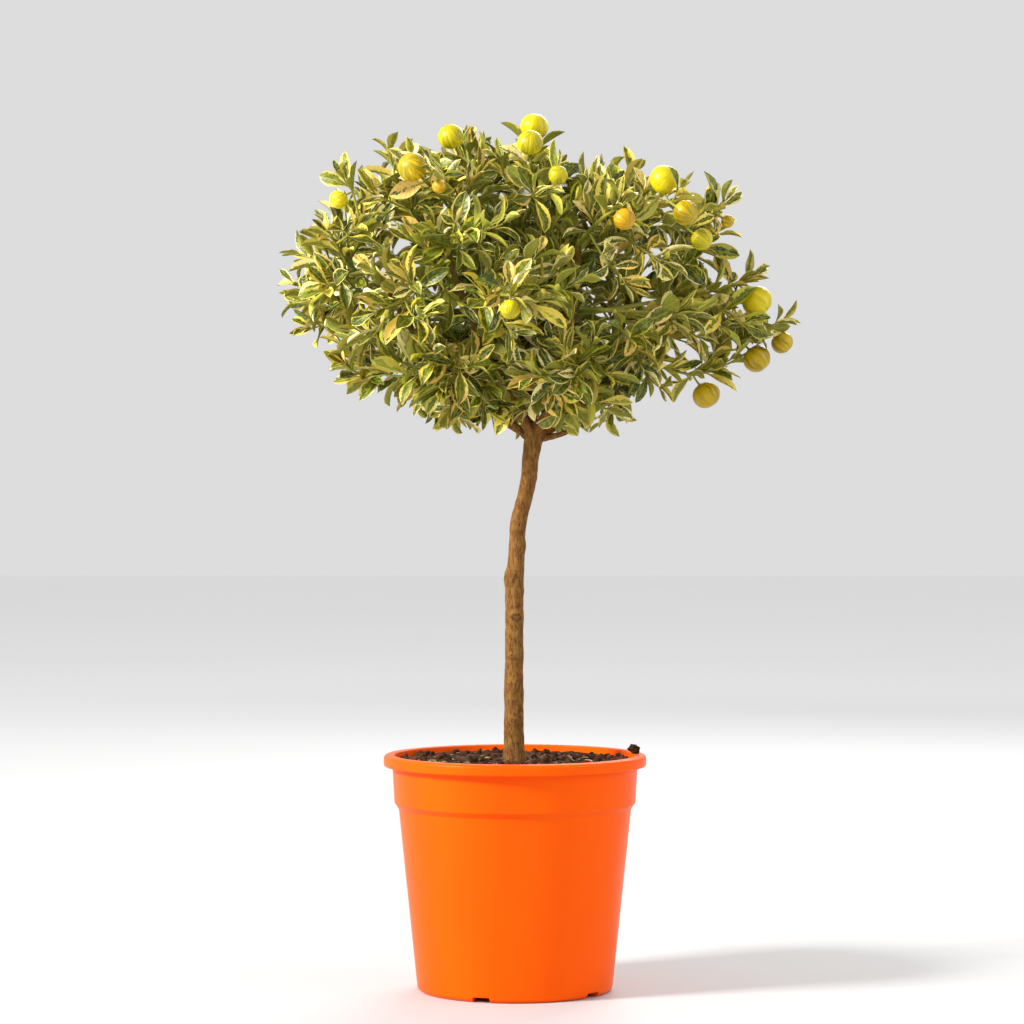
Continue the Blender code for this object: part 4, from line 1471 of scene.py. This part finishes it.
    def shape_bark(self, mesh: bpy.types.Mesh) -> None:
        """Presses knots, ridges and uneven growth into the wood.

        Args:
            mesh: The fused wood.
        """
        places = self.knot_places()
        bm = bmesh.new()
        bm.from_mesh(mesh)
        for _ in range(2):
            bmesh.ops.smooth_vert(
                bm, verts=bm.verts, factor=0.5, use_axis_x=True, use_axis_y=True, use_axis_z=True
            )
        bm.normal_update()
        moves = []
        for vert in bm.verts:
            spot = vert.co
            stretched = Vector((spot.x, spot.y, spot.z * 0.16))
            rise = fractal(stretched, 0.0042, 3) * self.grain * 0.36
            rise += fractal(Vector((spot.x * 0.4, spot.y * 0.4, spot.z)), 0.011, 2) * 0.00042
            for middle, knot in places:
                gap = (spot - middle).length / knot.width
                if gap < 1.7:
                    rise += knot.rise * math.exp(-2.2 * gap * gap)
                    rise -= 0.55 * knot.rise * math.exp(-((gap - 0.05) ** 2) / 0.035)
            if spot.z > self.fork:
                rise *= 0.55
            moves.append(vert.normal * rise)
        for vert, move in zip(bm.verts, moves):
            vert.co += move
        bm.to_mesh(mesh)
        bm.free()

    def dry_stalk(self) -> None:
        """The thin dead stalk that hangs from the right-hand limb."""
        chance = random.Random(4)
        solid = Solid()
        start = self.limb_line(LIMBS[0], 24)[15] - UP * 0.002
        marks = [start]
        for k in range(4):
            sway = Vector((chance.uniform(-0.0011, 0.0011), chance.uniform(-0.0011, 0.0011), 0.0))
            marks.append(marks[-1] - UP * 0.0055 + sway)
        solid.sweep(smooth_path(marks, 12), [0.0007 - 0.00003 * k for k in range(12)], 6)
        shifts = ((0.0, 0.0, 0.0), (0.002, -0.001, -0.002), (0.003, 0.0, -0.006))
        twig = [marks[2] + Vector(shift) for shift in shifts]
        solid.sweep(smooth_path(twig, 6), [0.0004] * 6, 5)
        settle("dry_stalk", solid.mesh("dry_stalk", 60.0), "bark", [], DryMatter().make())

    def build(self) -> bpy.types.Object:
        """Builds the woody piece.

        Returns:
            The piece.
        """
        self.dry_stalk()
        raw = self.raw_wood()
        fuse = raw.modifiers.new("fuse", "REMESH")
        fuse.mode, fuse.voxel_size, fuse.use_smooth_shade = "VOXEL", self.voxel, True
        mesh = evaluated_mesh(raw)
        bpy.data.objects.remove(raw)
        self.shape_bark(mesh)
        mesh.shade_smooth()
        knots = tuple((*middle, knot.width, knot.darkness) for middle, knot in self.knot_places())
        bark = Bark(knots=knots).make()
        return settle("stem_wood", mesh, "bark", ["stem_and_limbs"], bark)


# ------------------------------------------------------------------------------ leaves


@dataclass(frozen=True)
class LeafForm:
    """How one kind of leaf is cut and bent, for a leaf of unit length."""

    width: float
    widest: float
    fold: float
    arch: float
    wave: float
    twist: float


class LeafShapes:
    """Closed leaf meshes of unit length that the foliage is made from."""

    kinds = (
        LeafForm(0.35, 0.58, 0.45, 0.35, 0.10, 0.10),
        LeafForm(0.31, 0.54, 0.70, 0.60, 0.16, -0.25),
        LeafForm(0.39, 0.62, 0.28, 0.20, 0.08, 0.15),
        LeafForm(0.34, 0.60, 0.55, 0.95, 0.20, -0.12),
        LeafForm(0.37, 0.56, 0.40, 0.70, 0.24, 0.45),
        LeafForm(0.27, 0.52, 0.90, 0.25, 0.12, 0.30),
        LeafForm(0.24, 0.55, 0.75, -0.30, 0.14, 0.20),
    )
    across = 4
    along = 7
    petiole = 0.10
    thickness = 0.011

    def __init__(self) -> None:
        """Makes every kind of leaf."""
        self.forms = [self.make(kind, number) for number, kind in enumerate(self.kinds)]

    def half_width(self, form: LeafForm, t: float) -> float:
        """Half the blade's width at a share of the way to the tip."""
        if t <= self.petiole:
            return 0.016
        blade = (t - self.petiole) / (1.0 - self.petiole)
        skew = math.log(0.5) / math.log(form.widest)
        return 0.012 + form.width / 2 * math.sin(math.pi * blade**skew) ** 0.9

    def bent(self, form: LeafForm, s: float, t: float, drop: float) -> Vector:
        """Where a point of the flat leaf goes.

        Args:
            form: The kind of leaf.
            s: Its place across, from -1 to 1.
            t: Its place along, from 0 to 1.
            drop: How far under the upper face it lies.

        Returns:
            The point, with the leaf running along +Y and facing +Z.
        """
        half = self.half_width(form, t) if t < 0.999 else 0.0
        side = s * half
        ripple = form.wave * math.sin(9.0 * t + 1.3 * s) * abs(s) ** 1.5 * half
        rise = form.fold * abs(side) + ripple - drop
        turn = form.twist * t
        x = side * math.cos(turn) - rise * math.sin(turn)
        z = side * math.sin(turn) + rise * math.cos(turn)
        steps = 12
        y_run = sum(math.cos(form.arch * (t * k / steps) ** 1.2) for k in range(steps)) / steps * t
        z_run = sum(math.sin(form.arch * (t * k / steps) ** 1.2) for k in range(steps)) / steps * t
        lean = form.arch * t**1.2
        return Vector((x, y_run + z * math.sin(lean), z * math.cos(lean) - z_run))

    def make(self, form: LeafForm, number: int) -> bpy.types.Mesh:
        """Makes one kind of leaf as two faces that share their edge.

        Args:
            form: How it is cut and bent.
            number: Its number, for its name.

        Returns:
            The mesh.
        """
        bm = bmesh.new()
        own = bm.loops.layers.uv.new(LEAF_MAP)
        bm.loops.layers.uv.new(BAKE_MAP)
        tone = bm.loops.layers.float_color.new(TONE)
        bmesh.ops.create_grid(bm, x_segments=self.across, y_segments=self.along, size=0.5)
        for vert in bm.verts:
            vert.co.y = (vert.co.y + 0.5) ** 0.9 - 0.5
        for face in bm.faces:
            for loop in face.loops:
                loop[own].uv = (loop.vert.co.x + 0.5, loop.vert.co.y + 0.5)
                loop[tone] = (0.0, 0.0, 0.0, 1.0)
        upper = list(bm.faces)
        made = bmesh.ops.duplicate(bm, geom=upper)["geom"]
        lower = [g for g in made if isinstance(g, bmesh.types.BMFace)]
        under = {vert for face in lower for vert in face.verts}
        bmesh.ops.reverse_faces(bm, faces=lower)
        for face in lower:
            for loop in face.loops:
                loop[tone] = (0.0, 0.0, 1.0, 1.0)
        for vert in bm.verts:
            s, t = vert.co.x * 2.0, vert.co.y + 0.5
            inside = max(0.0, 1.0 - s * s) * min(1.0, 12.0 * t) * min(1.0, 6.0 * (1.0 - t))
            drop = self.thickness * inside if vert in under else 0.0
            vert.co = self.bent(form, s, t, drop)
        bmesh.ops.remove_doubles(bm, verts=bm.verts, dist=0.0002)
        for edge in bm.edges:
            sides = {face.loops[0][tone][2] > 0.5 for face in edge.link_faces}
            edge.smooth = len(sides) == 1
        for face in bm.faces:
            face.smooth = True
        mesh = bpy.data.meshes.new(f"leaf_form_{number}")
        bm.to_mesh(mesh)
        bm.free()
        return mesh


class Foliage:
    """One bough: its wood, twigs and leaves, with a cell of the bake map for each."""

    def __init__(self, name: str, leaves: LeafShapes, cells: int) -> None:
        """Starts an empty bough.

        Args:
            name: The piece's name.
            leaves: The leaf shapes.
            cells: How many leaves and twigs it will hold at most.
        """
        self.name = name
        self.leaves = leaves
        self.solid = Solid()
        self.bm = self.solid.bm
        self.own = self.bm.loops.layers.uv.new(LEAF_MAP)
        self.bake = self.bm.loops.layers.uv.new(BAKE_MAP)
        self.tone = self.bm.loops.layers.float_color.new(TONE)
        self.rows = max(1, math.ceil(math.sqrt(cells)))
        self.used = 0

    def cell(self) -> Triple:
        """The next free cell of the bake map, as its corner and its size."""
        row, column = divmod(self.used, self.rows)
        self.used += 1
        size = 1.0 / self.rows
        return column * size, row * size, size

    def twig(self, path: Sequence[Vector], radii: Sequence[float], sides: int) -> None:
        """Adds wood along a path.

        Args:
            path: Its centreline.
            radii: Its radius at each point.
            sides: How many sides it has.
        """
        places = self.solid.sweep(path, radii, sides)
        x, y, size = self.cell()
        last = len(path) - 1
        for face in {face for vert in places for face in vert.link_faces}:
            face.material_index = 1
            turns = [places[vert][1] for vert in face.verts]
            wraps = len(turns) == 4 and max(turns) - min(turns) > 1
            for loop in face.loops:
                ring, k = places[loop.vert]
                k = sides if wraps and k == 0 else k
                u = 0.06 + 0.88 * k / sides
                v = 0.06 + 0.88 * ring / last
                loop[self.bake].uv = (x + u * size, y + v * size)

    def leaf(self, matrix: Matrix, kind: int, seed: float, green: float) -> None:
        """Adds a leaf.

        Args:
            matrix: Where it goes.
            kind: Which of the leaf shapes it is.
            seed: Its random number, from 0 to 1.
            green: How much of it is green.
        """
        verts, faces = len(self.bm.verts), len(self.bm.faces)
        self.bm.from_mesh(self.leaves.forms[kind])
        self.bm.verts.ensure_lookup_table()
        self.bm.faces.ensure_lookup_table()
        bmesh.ops.transform(self.bm, matrix=matrix, verts=self.bm.verts[verts:])
        x, y, size = self.cell()
        for face in self.bm.faces[faces:]:
            under = face.loops[0][self.tone][2]
            left = 0.03 + 0.5 * under
            for loop in face.loops:
                u, v = loop[self.own].uv
                loop[self.bake].uv = (
                    x + (left + 0.44 * u) * size,
                    y + (0.03 + 0.94 * v) * size,
                )
                loop[self.tone] = (seed, green, under, 1.0)

    def finish(self, node: str, *finishes: bpy.types.Material) -> bpy.types.Object:
        """Puts the bough in the scene.

        Args:
            node: The CAD node that it stands for.
            finishes: The leaf's and the wood's materials.

        Returns:
            The piece.
        """
        mesh = bpy.data.meshes.new(self.name)
        self.bm.to_mesh(mesh)
        self.bm.free()
        mesh.shade_smooth()
        return settle(self.name, mesh, "foliage", [node], *finishes)


# ------------------------------------------------------------------------------- boughs


@dataclass
class Bough:
    """One bough's centreline and the twigs that leave it."""

    node: str
    line: list[Vector]
    twigs: list[list[Vector]] = field(default_factory=list)


@dataclass
class Canopy:
    """All boughs with their twigs and leaves."""

    crown: Crown
    stem: Stem
    leaves: LeafShapes
    shells: tuple[tuple[int, float, float], ...] = ((205, 0.80, 0.92), (110, 0.34, 0.70))
    tip_drop: float = 0.009
    sprays: tuple[Triple, ...] = (
        *((84.0, -4.0, 0.90), (90.0, -9.0, 0.96), (80.0, -12.0, 1.00), (86.0, -15.0, 1.02)),
        *((92.0, -12.0, 1.06), (82.0, -8.0, 1.08), (88.0, -17.0, 1.10), (85.0, -11.0, 1.14)),
        *((96.0, -10.0, 1.10), (76.0, -10.0, 1.12), (88.0, -13.0, 1.18)),
        *((262.0, 1.0, 0.95), (276.0, -5.0, 0.94), (268.0, -12.0, 0.93), (272.0, 8.0, 0.93)),
    )
    bough_radii: tuple[float, float] = (0.0021, 0.0010)
    twig_radii: tuple[float, float] = (0.00115, 0.00065)
    twig_length: float = 0.043
    turn_cost: float = 0.022
    fruit_twig_length: float = 0.014
    fruit_clearance: float = 0.0022
    leaf_lengths: tuple[float, float] = (0.022, 0.037)
    leaf_widths: tuple[float, float] = (0.85, 1.15)
    leaf_counts: tuple[int, int] = (6, 13)
    leaf_gap: float = 0.0050
    clear_height: float = 0.463
    clear_fork: tuple[float, float] = (0.048, 0.486)
    viewer: Triple = (0.0, -2.8, 0.427)
    seed: int = 5
    bends: tuple[tuple[float, float], ...] = (
        *((0.10, 0.0), (0.02, 0.0), (0.18, 0.0), (0.10, 0.12), (0.10, -0.12), (-0.08, 0.0)),
        *((0.26, 0.0), (0.0, 0.22), (0.0, -0.22), (-0.16, 0.1), (-0.16, -0.1), (0.34, 0.0)),
    )

    def arched(self, root: Vector, tip: Vector, sag: float, sway: float) -> list[Vector]:
        """A bough's line for one bend.

        Args:
            root: Where it leaves its limb.
            tip: Where it ends.
            sag: How far it hangs, in shares of its span.
            sway: How far it bends sideways, in shares of its span.

        Returns:
            The points.
        """
        span = tip - root
        across = span.cross(UP).normalized() * span.length
        knee = root.lerp(tip, 0.5) + across * sway - UP * sag * span.length
        return arch_path(root, knee, tip, 18)

    def follow(self, node: str, tip: Vector, roots: Sequence[Vector]) -> list[Vector]:
        """Finds the line that a CAD bough's wood follows.

        Args:
            node: The CAD node.
            tip: Where the bough ends.
            roots: Points on the limbs.

        Returns:
            The points, from inside the limb to the tip.
        """
        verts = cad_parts[node].data.vertices
        tree = KDTree(len(verts))
        for i, vert in enumerate(verts):
            tree.insert(vert.co, i)
        tree.balance()
        near = sorted(roots, key=lambda p: tree.find(p)[2])[:24]
        lines = (self.arched(root, tip, *bend) for root in near for bend in self.bends)
        return min(lines, key=lambda line: sum(tree.find(p)[2] for p in line[2:]))

    def plan(self) -> list[Bough]:
        """Lays out every bough."""
        roots = [p for limb in LIMBS for p in smooth_path(self.stem.limb_line(limb), 30)[9:]]
        boughs = []
        for i, tip in enumerate(self.crown.tips()):
            node = f"leafy_bough_{i + 1:02d}"
            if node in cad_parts:
                line = self.follow(node, tip, roots)
                boughs.append(Bough(node, line, [line[10:]]))
        return boughs

    def twig_tips(self, chance: random.Random) -> list[Vector]:
        """Where the twigs end, spread evenly over the crown and thinner inside it.

        Args:
            chance: Where the unevenness comes from.

        Returns:
            The tips.
        """
        tips = []
        for count, low, high in self.shells:
            for i in range(count):
                rise = 1.0 - 2.0 * (i + 0.5) / count
                flat = math.sqrt(1.0 - rise * rise)
                turn = GOLDEN_TURN * i
                direction = Vector((flat * math.cos(turn), flat * math.sin(turn), rise))
                direction += Vector(chance.gauss(0.0, 0.07) for _ in range(3))
                direction.normalize()
                share = chance.uniform(low, high)
                place = self.crown.middle() + direction * self.crown.reach(direction) * share
                tips.append(place - UP * self.tip_drop)
        return tips + [self.crown.point(*spray) for spray in self.sprays]

    def reach_cost(self, bough: Bough, k: int, tip: Vector) -> float:
        """How awkward it is to reach a tip from a point on a bough.

        Args:
            bough: The bough.
            k: Which of its points.
            tip: The tip.

        Returns:
            The cost, in metres.
        """
        ahead = bough.line[min(k + 1, len(bough.line) - 1)] - bough.line[k - 1]
        way = tip - bough.line[k]
        turn = way.normalized().dot(ahead.normalized()) if way.length > 0 else 1.0
        return abs(way.length - self.twig_length) + self.turn_cost * (1.0 - turn)

    def add_twigs(self, boughs: Sequence[Bough], chance: random.Random) -> None:
        """Joins each twig's tip to the bough that serves it best.

        Args:
            boughs: The boughs.
            chance: Where the unevenness comes from.
        """
        joints = [(bough, k) for bough in boughs for k in range(3, len(bough.line))]
        for tip in self.twig_tips(chance):
            bough, k = min(joints, key=lambda joint, tip=tip: self.reach_cost(*joint, tip))
            start = bough.line[k]
            ahead = (start - bough.line[k - 1]).normalized()
            span = (tip - start).length
            outwards = (tip - self.crown.middle()).normalized()
            rising = (outwards * 0.75 + UP * 0.60).normalized()
            knee = (start + ahead * span * 0.4 + tip - rising * span * 0.5) / 2
            bough.twigs.append(arch_path(start, knee, tip, 10))

    def add_fruit_twigs(self, boughs: Sequence[Bough]) -> None:
        """Grows a leafy twig through the end of each fruit's stalk.

        Args:
            boughs: The boughs.
        """
        for fruit in FRUITS:
            end = self.crown.stalk_end(fruit)
            joints = [(b, p) for b in boughs for line in (b.line, *b.twigs) for p in line[3:]]
            spans = [abs((place - end).length - self.fruit_twig_length) for _, place in joints]
            bough, start = joints[spans.index(min(spans))]
            outwards = (end - self.crown.middle()).normalized()
            beyond = end + (outwards * 0.75 + UP * 0.45).normalized() * 0.013
            knee = start.lerp(end, 0.5) + UP * 0.0015
            bough.twigs.append(smooth_path([start, knee, end, end.lerp(beyond, 0.5), beyond], 10))

    def hides_fruit(self, base: Vector, tip: Vector) -> bool:
        """Whether a leaf would cut a fruit, or cover most of one that shows in front."""
        viewer = Vector(self.viewer)
        for fruit in FRUITS:
            centre, radius = self.crown.fruit_centre(fruit), fruit.diameter / 2
            for share in (0.2, 0.6, 1.0):
                point = base.lerp(tip, share)
                if (point - centre).length < radius + self.fruit_clearance:
                    return True
                if fruit.depth < 0.1 and viewer.y < point.y < centre.y:
                    way = point - viewer
                    seen = viewer + way * ((centre.y - viewer.y) / way.y)
                    if (seen - centre).length < radius * 0.85:
                        return True
        return False

    def blocked(self, base: Vector, tip: Vector) -> bool:
        """Whether a leaf would hide a fruit, hang before the fork or leave the part's box."""
        low, high = CAD_BOX
        for axis in range(3):
            spare = 0.03 * (high[axis] - low[axis]) + 0.0085
            if not low[axis] - spare < tip[axis] < high[axis] + spare:
                return True
        radius, height = self.clear_fork
        if tip.z < self.clear_height or (tip.xy.length < radius and tip.z < height):
            return True
        return self.hides_fruit(base, tip)

    def leaf_along(self, foliage: Foliage, twig: Sequence[Vector], chance: random.Random) -> None:
        """Sets leaves in a spiral round a twig, denser and steeper towards its tip.

        Args:
            foliage: The bough's mesh.
            twig: The twig's points.
            chance: Where the unevenness comes from.
        """
        lengths = [(b - a).length for a, b in zip(twig, twig[1:])]
        total = sum(lengths)
        fewest, most = self.leaf_counts
        count = max(fewest, min(most, round(total / self.leaf_gap)))
        turn = chance.uniform(0.0, math.tau)
        depth = (twig[-1] - self.crown.middle()).length / self.crown.radius
        for number in range(count):
            share = 1.0 - 0.86 * (number / count) ** 1.15
            place = share * (len(twig) - 1)
            k = min(int(place), len(twig) - 2)
            base = twig[k].lerp(twig[k + 1], place - k)
            ahead = (twig[k + 1] - twig[k]).normalized()
            turn += LEAF_TURN + chance.gauss(0.0, 0.2)
            out = Matrix.Rotation(turn, 3, ahead) @ ahead.orthogonal().normalized()
            spread = chance.uniform(0.30, 0.62) + 0.50 * (1.0 - share) + 0.03 * number
            along = ahead * math.cos(spread) + out * math.sin(spread)
            along = (along + UP * chance.uniform(0.05, 0.50)).normalized()
            sky = (UP * 0.75 + ahead * 0.55 - out * 0.25 + Vector((0.0, -0.15, 0.0))).normalized()
            across = along.cross(sky).normalized()
            across = Matrix.Rotation(chance.gauss(0.0, 0.65), 3, along) @ across
            length = chance.uniform(*self.leaf_lengths) * (0.72 + 0.28 * min(1.0, number / 4))
            if self.blocked(base, base + along * length):
                continue
            rows = Matrix((across, along, across.cross(along))).transposed().to_4x4()
            width = length * chance.uniform(*self.leaf_widths)
            size = Matrix.Diagonal((width, length, length, 1.0))
            matrix = Matrix.Translation(base) @ rows @ size
            # Twigs that end deep in the crown, inside 0.6 of its radius from the middle, get 0.30
            # more green share and so less cream: painted shade that darkens the crown's inside.
            green = chance.gauss(0.60, 0.22) + (0.30 if depth < 0.6 else 0.0)
            green += chance.choices((-0.55, 0.0, 0.6), (1.0, 12.0, 1.2))[0]
            kind = chance.randrange(3, 7) if number < 3 else chance.randrange(6)
            foliage.leaf(matrix, kind, chance.random(), green)

    def dress(self, bough: Bough, finishes: Sequence[Any], chance: random.Random) -> None:
        """Builds one bough.

        Args:
            bough: Its layout.
            finishes: The leaf's and the wood's materials.
            chance: Where the unevenness comes from.
        """
        cells = 2 + 14 * len(bough.twigs)
        name = bough.node.replace("leafy_bough", "foliage")
        trial = Foliage(name, self.leaves, cells)
        state = chance.getstate()
        self.grow(trial, bough, chance)
        chance.setstate(state)
        foliage = Foliage(name, self.leaves, trial.used)
        trial.bm.free()
        self.grow(foliage, bough, chance)
        foliage.finish(bough.node, *finishes)

    def grow(self, foliage: Foliage, bough: Bough, chance: random.Random) -> None:
        """Adds a bough's wood, twigs and leaves.

        Args:
            foliage: The mesh that they go in.
            bough: The bough's layout.
            chance: Where the unevenness comes from.
        """
        wood = [(bough.line, self.bough_radii, 8)]
        wood += [(twig, self.twig_radii, 6) for twig in bough.twigs[1:]]
        for path, (thick, thin), sides in wood:
            last = len(path) - 1
            radii = [thick - (thick - thin) * k / last for k in range(last + 1)]
            foliage.twig(path, radii, sides)
        for twig in bough.twigs:
            self.leaf_along(foliage, twig, chance)

    def build(self) -> None:
        """Builds every bough."""
        chance = random.Random(self.seed)
        boughs = self.plan()
        self.add_twigs(boughs, chance)
        self.add_fruit_twigs(boughs)
        finishes = [VariegatedLeaf().make(), GreenWood().make()]
        for bough in boughs:
            self.dress(bough, finishes, chance)
        LOG.info("%d boughs, %d twigs", len(boughs), sum(len(b.twigs) for b in boughs))


# -------------------------------------------------------------------------------- fruit


@dataclass
class FruitCrop:
    """Every fruit with its stalk and calyx."""

    crown: Crown
    sides: int = 36
    steps: int = 18
    dimple: float = 0.10
    dimple_width: float = 0.30
    nub: float = 0.05
    nub_width: float = 0.22
    wobble: float = 0.018
    lobes: int = 5
    lobe_share: float = 0.45
    calyx_radius: float = 0.0025
    calyx_depth: float = 0.0010
    usual_radius: float = 0.011
    lean: float = 0.0006
    stalk_radii: tuple[float, ...] = (0.0012, 0.00095, 0.00085, 0.00085, 0.0009, 0.00105)
    seed: int = 9

    def peel_profile(self, radius: float) -> list[tuple[float, float]]:
        """A fruit's section, from its stalk end to its tip: a little flat and dimpled."""
        height = radius * self.crown.squash
        points = []
        for i in range(self.steps + 1):
            turn = math.pi * i / self.steps
            dent = self.dimple * radius * math.exp(-((turn / self.dimple_width) ** 2))
            nub = self.nub * radius * math.exp(-(((math.pi - turn) / self.nub_width) ** 2))
            points.append((radius * math.sin(turn), height * math.cos(turn) - dent + nub))
        return points

    def map_peel(self, solid: Solid, radius: float) -> None:
        """Lays the peel's map: round the fruit, and from its tip up to its stalk.

        Args:
            solid: The fruit about the Z axis.
            radius: Its radius.
        """
        layer = solid.bm.loops.layers.uv.new(PEEL_MAP)
        for face in solid.bm.faces:
            middle = face.calc_center_median()
            facing = math.atan2(middle.y, middle.x)
            for loop in face.loops:
                co = loop.vert.co
                turn = math.atan2(co.y, co.x) if co.xy.length > 1e-6 else facing
                turn += math.tau * round((facing - turn) / math.tau)
                loop[layer].uv = (turn / math.tau, 0.5 + 0.5 * co.z / radius)

    def calyx(self, solid: Solid, radius: float, chance: random.Random) -> None:
        """Adds the five-lobed green cap and the stalk.

        Args:
            solid: The fruit about the Z axis.
            radius: Its radius.
            chance: Where the unevenness comes from.
        """
        dent = self.dimple * radius
        high = radius * self.crown.squash - dent
        before = set(solid.bm.faces)
        top = Vector((0.0, 0.0, high + self.crown.stalk + dent + self.crown.stalk_join))
        lean = [chance.uniform(-self.lean, self.lean) for _ in range(2)]
        knee = (top + UP * high) / 2 + Vector((*lean, 0.0))
        path = arch_path(UP * (high - 0.0006), knee, top, len(self.stalk_radii))
        solid.sweep(path, self.stalk_radii, 8)
        made = bmesh.ops.create_cone(
            solid.bm,
            cap_ends=True,
            segments=4 * self.lobes,
            radius1=1.0,
            radius2=0.55,
            depth=self.calyx_depth,
        )
        size = self.calyx_radius * (radius / self.usual_radius) ** 0.5
        for vert in made["verts"]:
            x, y, z = vert.co
            lobe = size * (1.0 + self.lobe_share * math.cos(self.lobes * math.atan2(y, x)))
            vert.co = Vector((x * lobe, y * lobe, z + high + 0.0003))
        for face in solid.bm.faces:
            if face not in before:
                face.material_index = 1

    def build(self) -> None:
        """Builds every fruit."""
        chance = random.Random(self.seed)
        rinds = {kind: Rind(kind).make() for kind in Ripeness}
        wood = GreenWood().make()
        for number, fruit in enumerate(FRUITS):
            radius = fruit.diameter / 2
            solid = Solid()
            solid.turn(self.peel_profile(radius), self.sides)
            self.map_peel(solid, radius)
            seed = Vector((number * 3.7, 1.0, 2.0))
            for vert in solid.bm.verts:
                vert.co *= 1.0 + self.wobble * noise.noise(vert.co / radius * 1.1 + seed)
            self.calyx(solid, radius, chance)
            turned = self.crown.stalk_direction(fruit).to_track_quat("Z", "Y")
            spin = Matrix.Rotation(chance.uniform(0.0, math.tau), 4, "Z")
            place = Matrix.Translation(self.crown.fruit_centre(fruit))
            matrix = place @ turned.to_matrix().to_4x4() @ spin
            bmesh.ops.transform(solid.bm, matrix=matrix, verts=solid.bm.verts)
            mesh = solid.mesh(f"citrus_{number + 1:02d}", 50.0)
            node = f"fruit_{number + 1:02d}"
            settle(f"citrus_{number + 1:02d}", mesh, "rind", [node], rinds[fruit.ripeness], wood)


# ------------------------------------------------------------------------------- studio


@dataclass
class Studio:
    """The pale floor, the soft lights and the camera."""

    camera_place: Triple = (-0.0025, -2.8, 0.427)
    camera_tilt: float = 0.552
    lens: float = 117.5
    sensor: float = 36.0
    far_end: float = 60.0
    floor_half: float = 12.0
    aim_height: float = 0.42
    sky: Triple = (1.0, 1.0, 1.0)
    sky_strength: float = 0.72
    lights: tuple[tuple[Triple, float, float], ...] = (
        ((-2.45, -1.25, 1.9), 0.6, 160.0),
        ((2.2, -0.7, 1.1), 1.6, 16.0),
        ((0.6, 2.0, 1.9), 1.4, 38.0),
    )

    def floor(self) -> None:
        """Lays the floor."""
        bm = bmesh.new()
        bmesh.ops.create_grid(bm, x_segments=2, y_segments=2, size=self.floor_half)
        mesh = bpy.data.meshes.new("studio_floor")
        bm.to_mesh(mesh)
        bm.free()
        mesh.materials.append(PaleFloor().make())
        floor = put("studio_floor", mesh)

    def light(self, number: int, place: Sequence[float], size: float, power: float) -> None:
        """Hangs a square soft light that faces the plant.

        Args:
            number: Its number, for its name.
            place: Where it hangs.
            size: Its side.
            power: Its power in watts.
        """
        lamp = bpy.data.lights.new(f"soft_light_{number}", "AREA")
        lamp.size, lamp.energy = size, power
        hung = put(lamp.name, lamp)
        hung.location = place
        aim = UP * self.aim_height - Vector(place)
        hung.rotation_euler = aim.to_track_quat("-Z", "Y").to_euler()

    def build(self) -> None:
        """Sets the studio up."""
        scene = bpy.context.scene
        scene.view_settings.view_transform = "Standard"
        world = bpy.data.worlds.new("studio")
        world.use_nodes = True
        background = world.node_tree.nodes["Background"]
        background.inputs["Color"].default_value = (*self.sky, 1.0)
        background.inputs["Strength"].default_value = self.sky_strength
        scene.world = world
        self.floor()
        for number, (place, size, power) in enumerate(self.lights):
            self.light(number + 1, place, size, power)
        camera = bpy.data.cameras.new("camera")
        camera.lens, camera.sensor_width = self.lens, self.sensor
        camera.clip_end = self.far_end
        held = put("camera", camera)
        held.location = self.camera_place
        held.rotation_euler = (math.radians(90.0 - self.camera_tilt), 0.0, 0.0)
        scene.camera = held


# --------------------------------------------------------------------------------- main


def main() -> None:
    """Builds the whole scene in order."""
    logging.basicConfig(level=logging.INFO, format="%(message)s")
    Studio().build()
    leaves = LeafShapes()
    pot = Pot()
    pot.build()
    PottingMix(pot).build(leaves)
    crown = Crown()
    stem = Stem(crown)
    stem.build()
    Canopy(crown, stem, leaves).build()
    FruitCrop(crown).build()


if __name__ == "__main__":
    main()
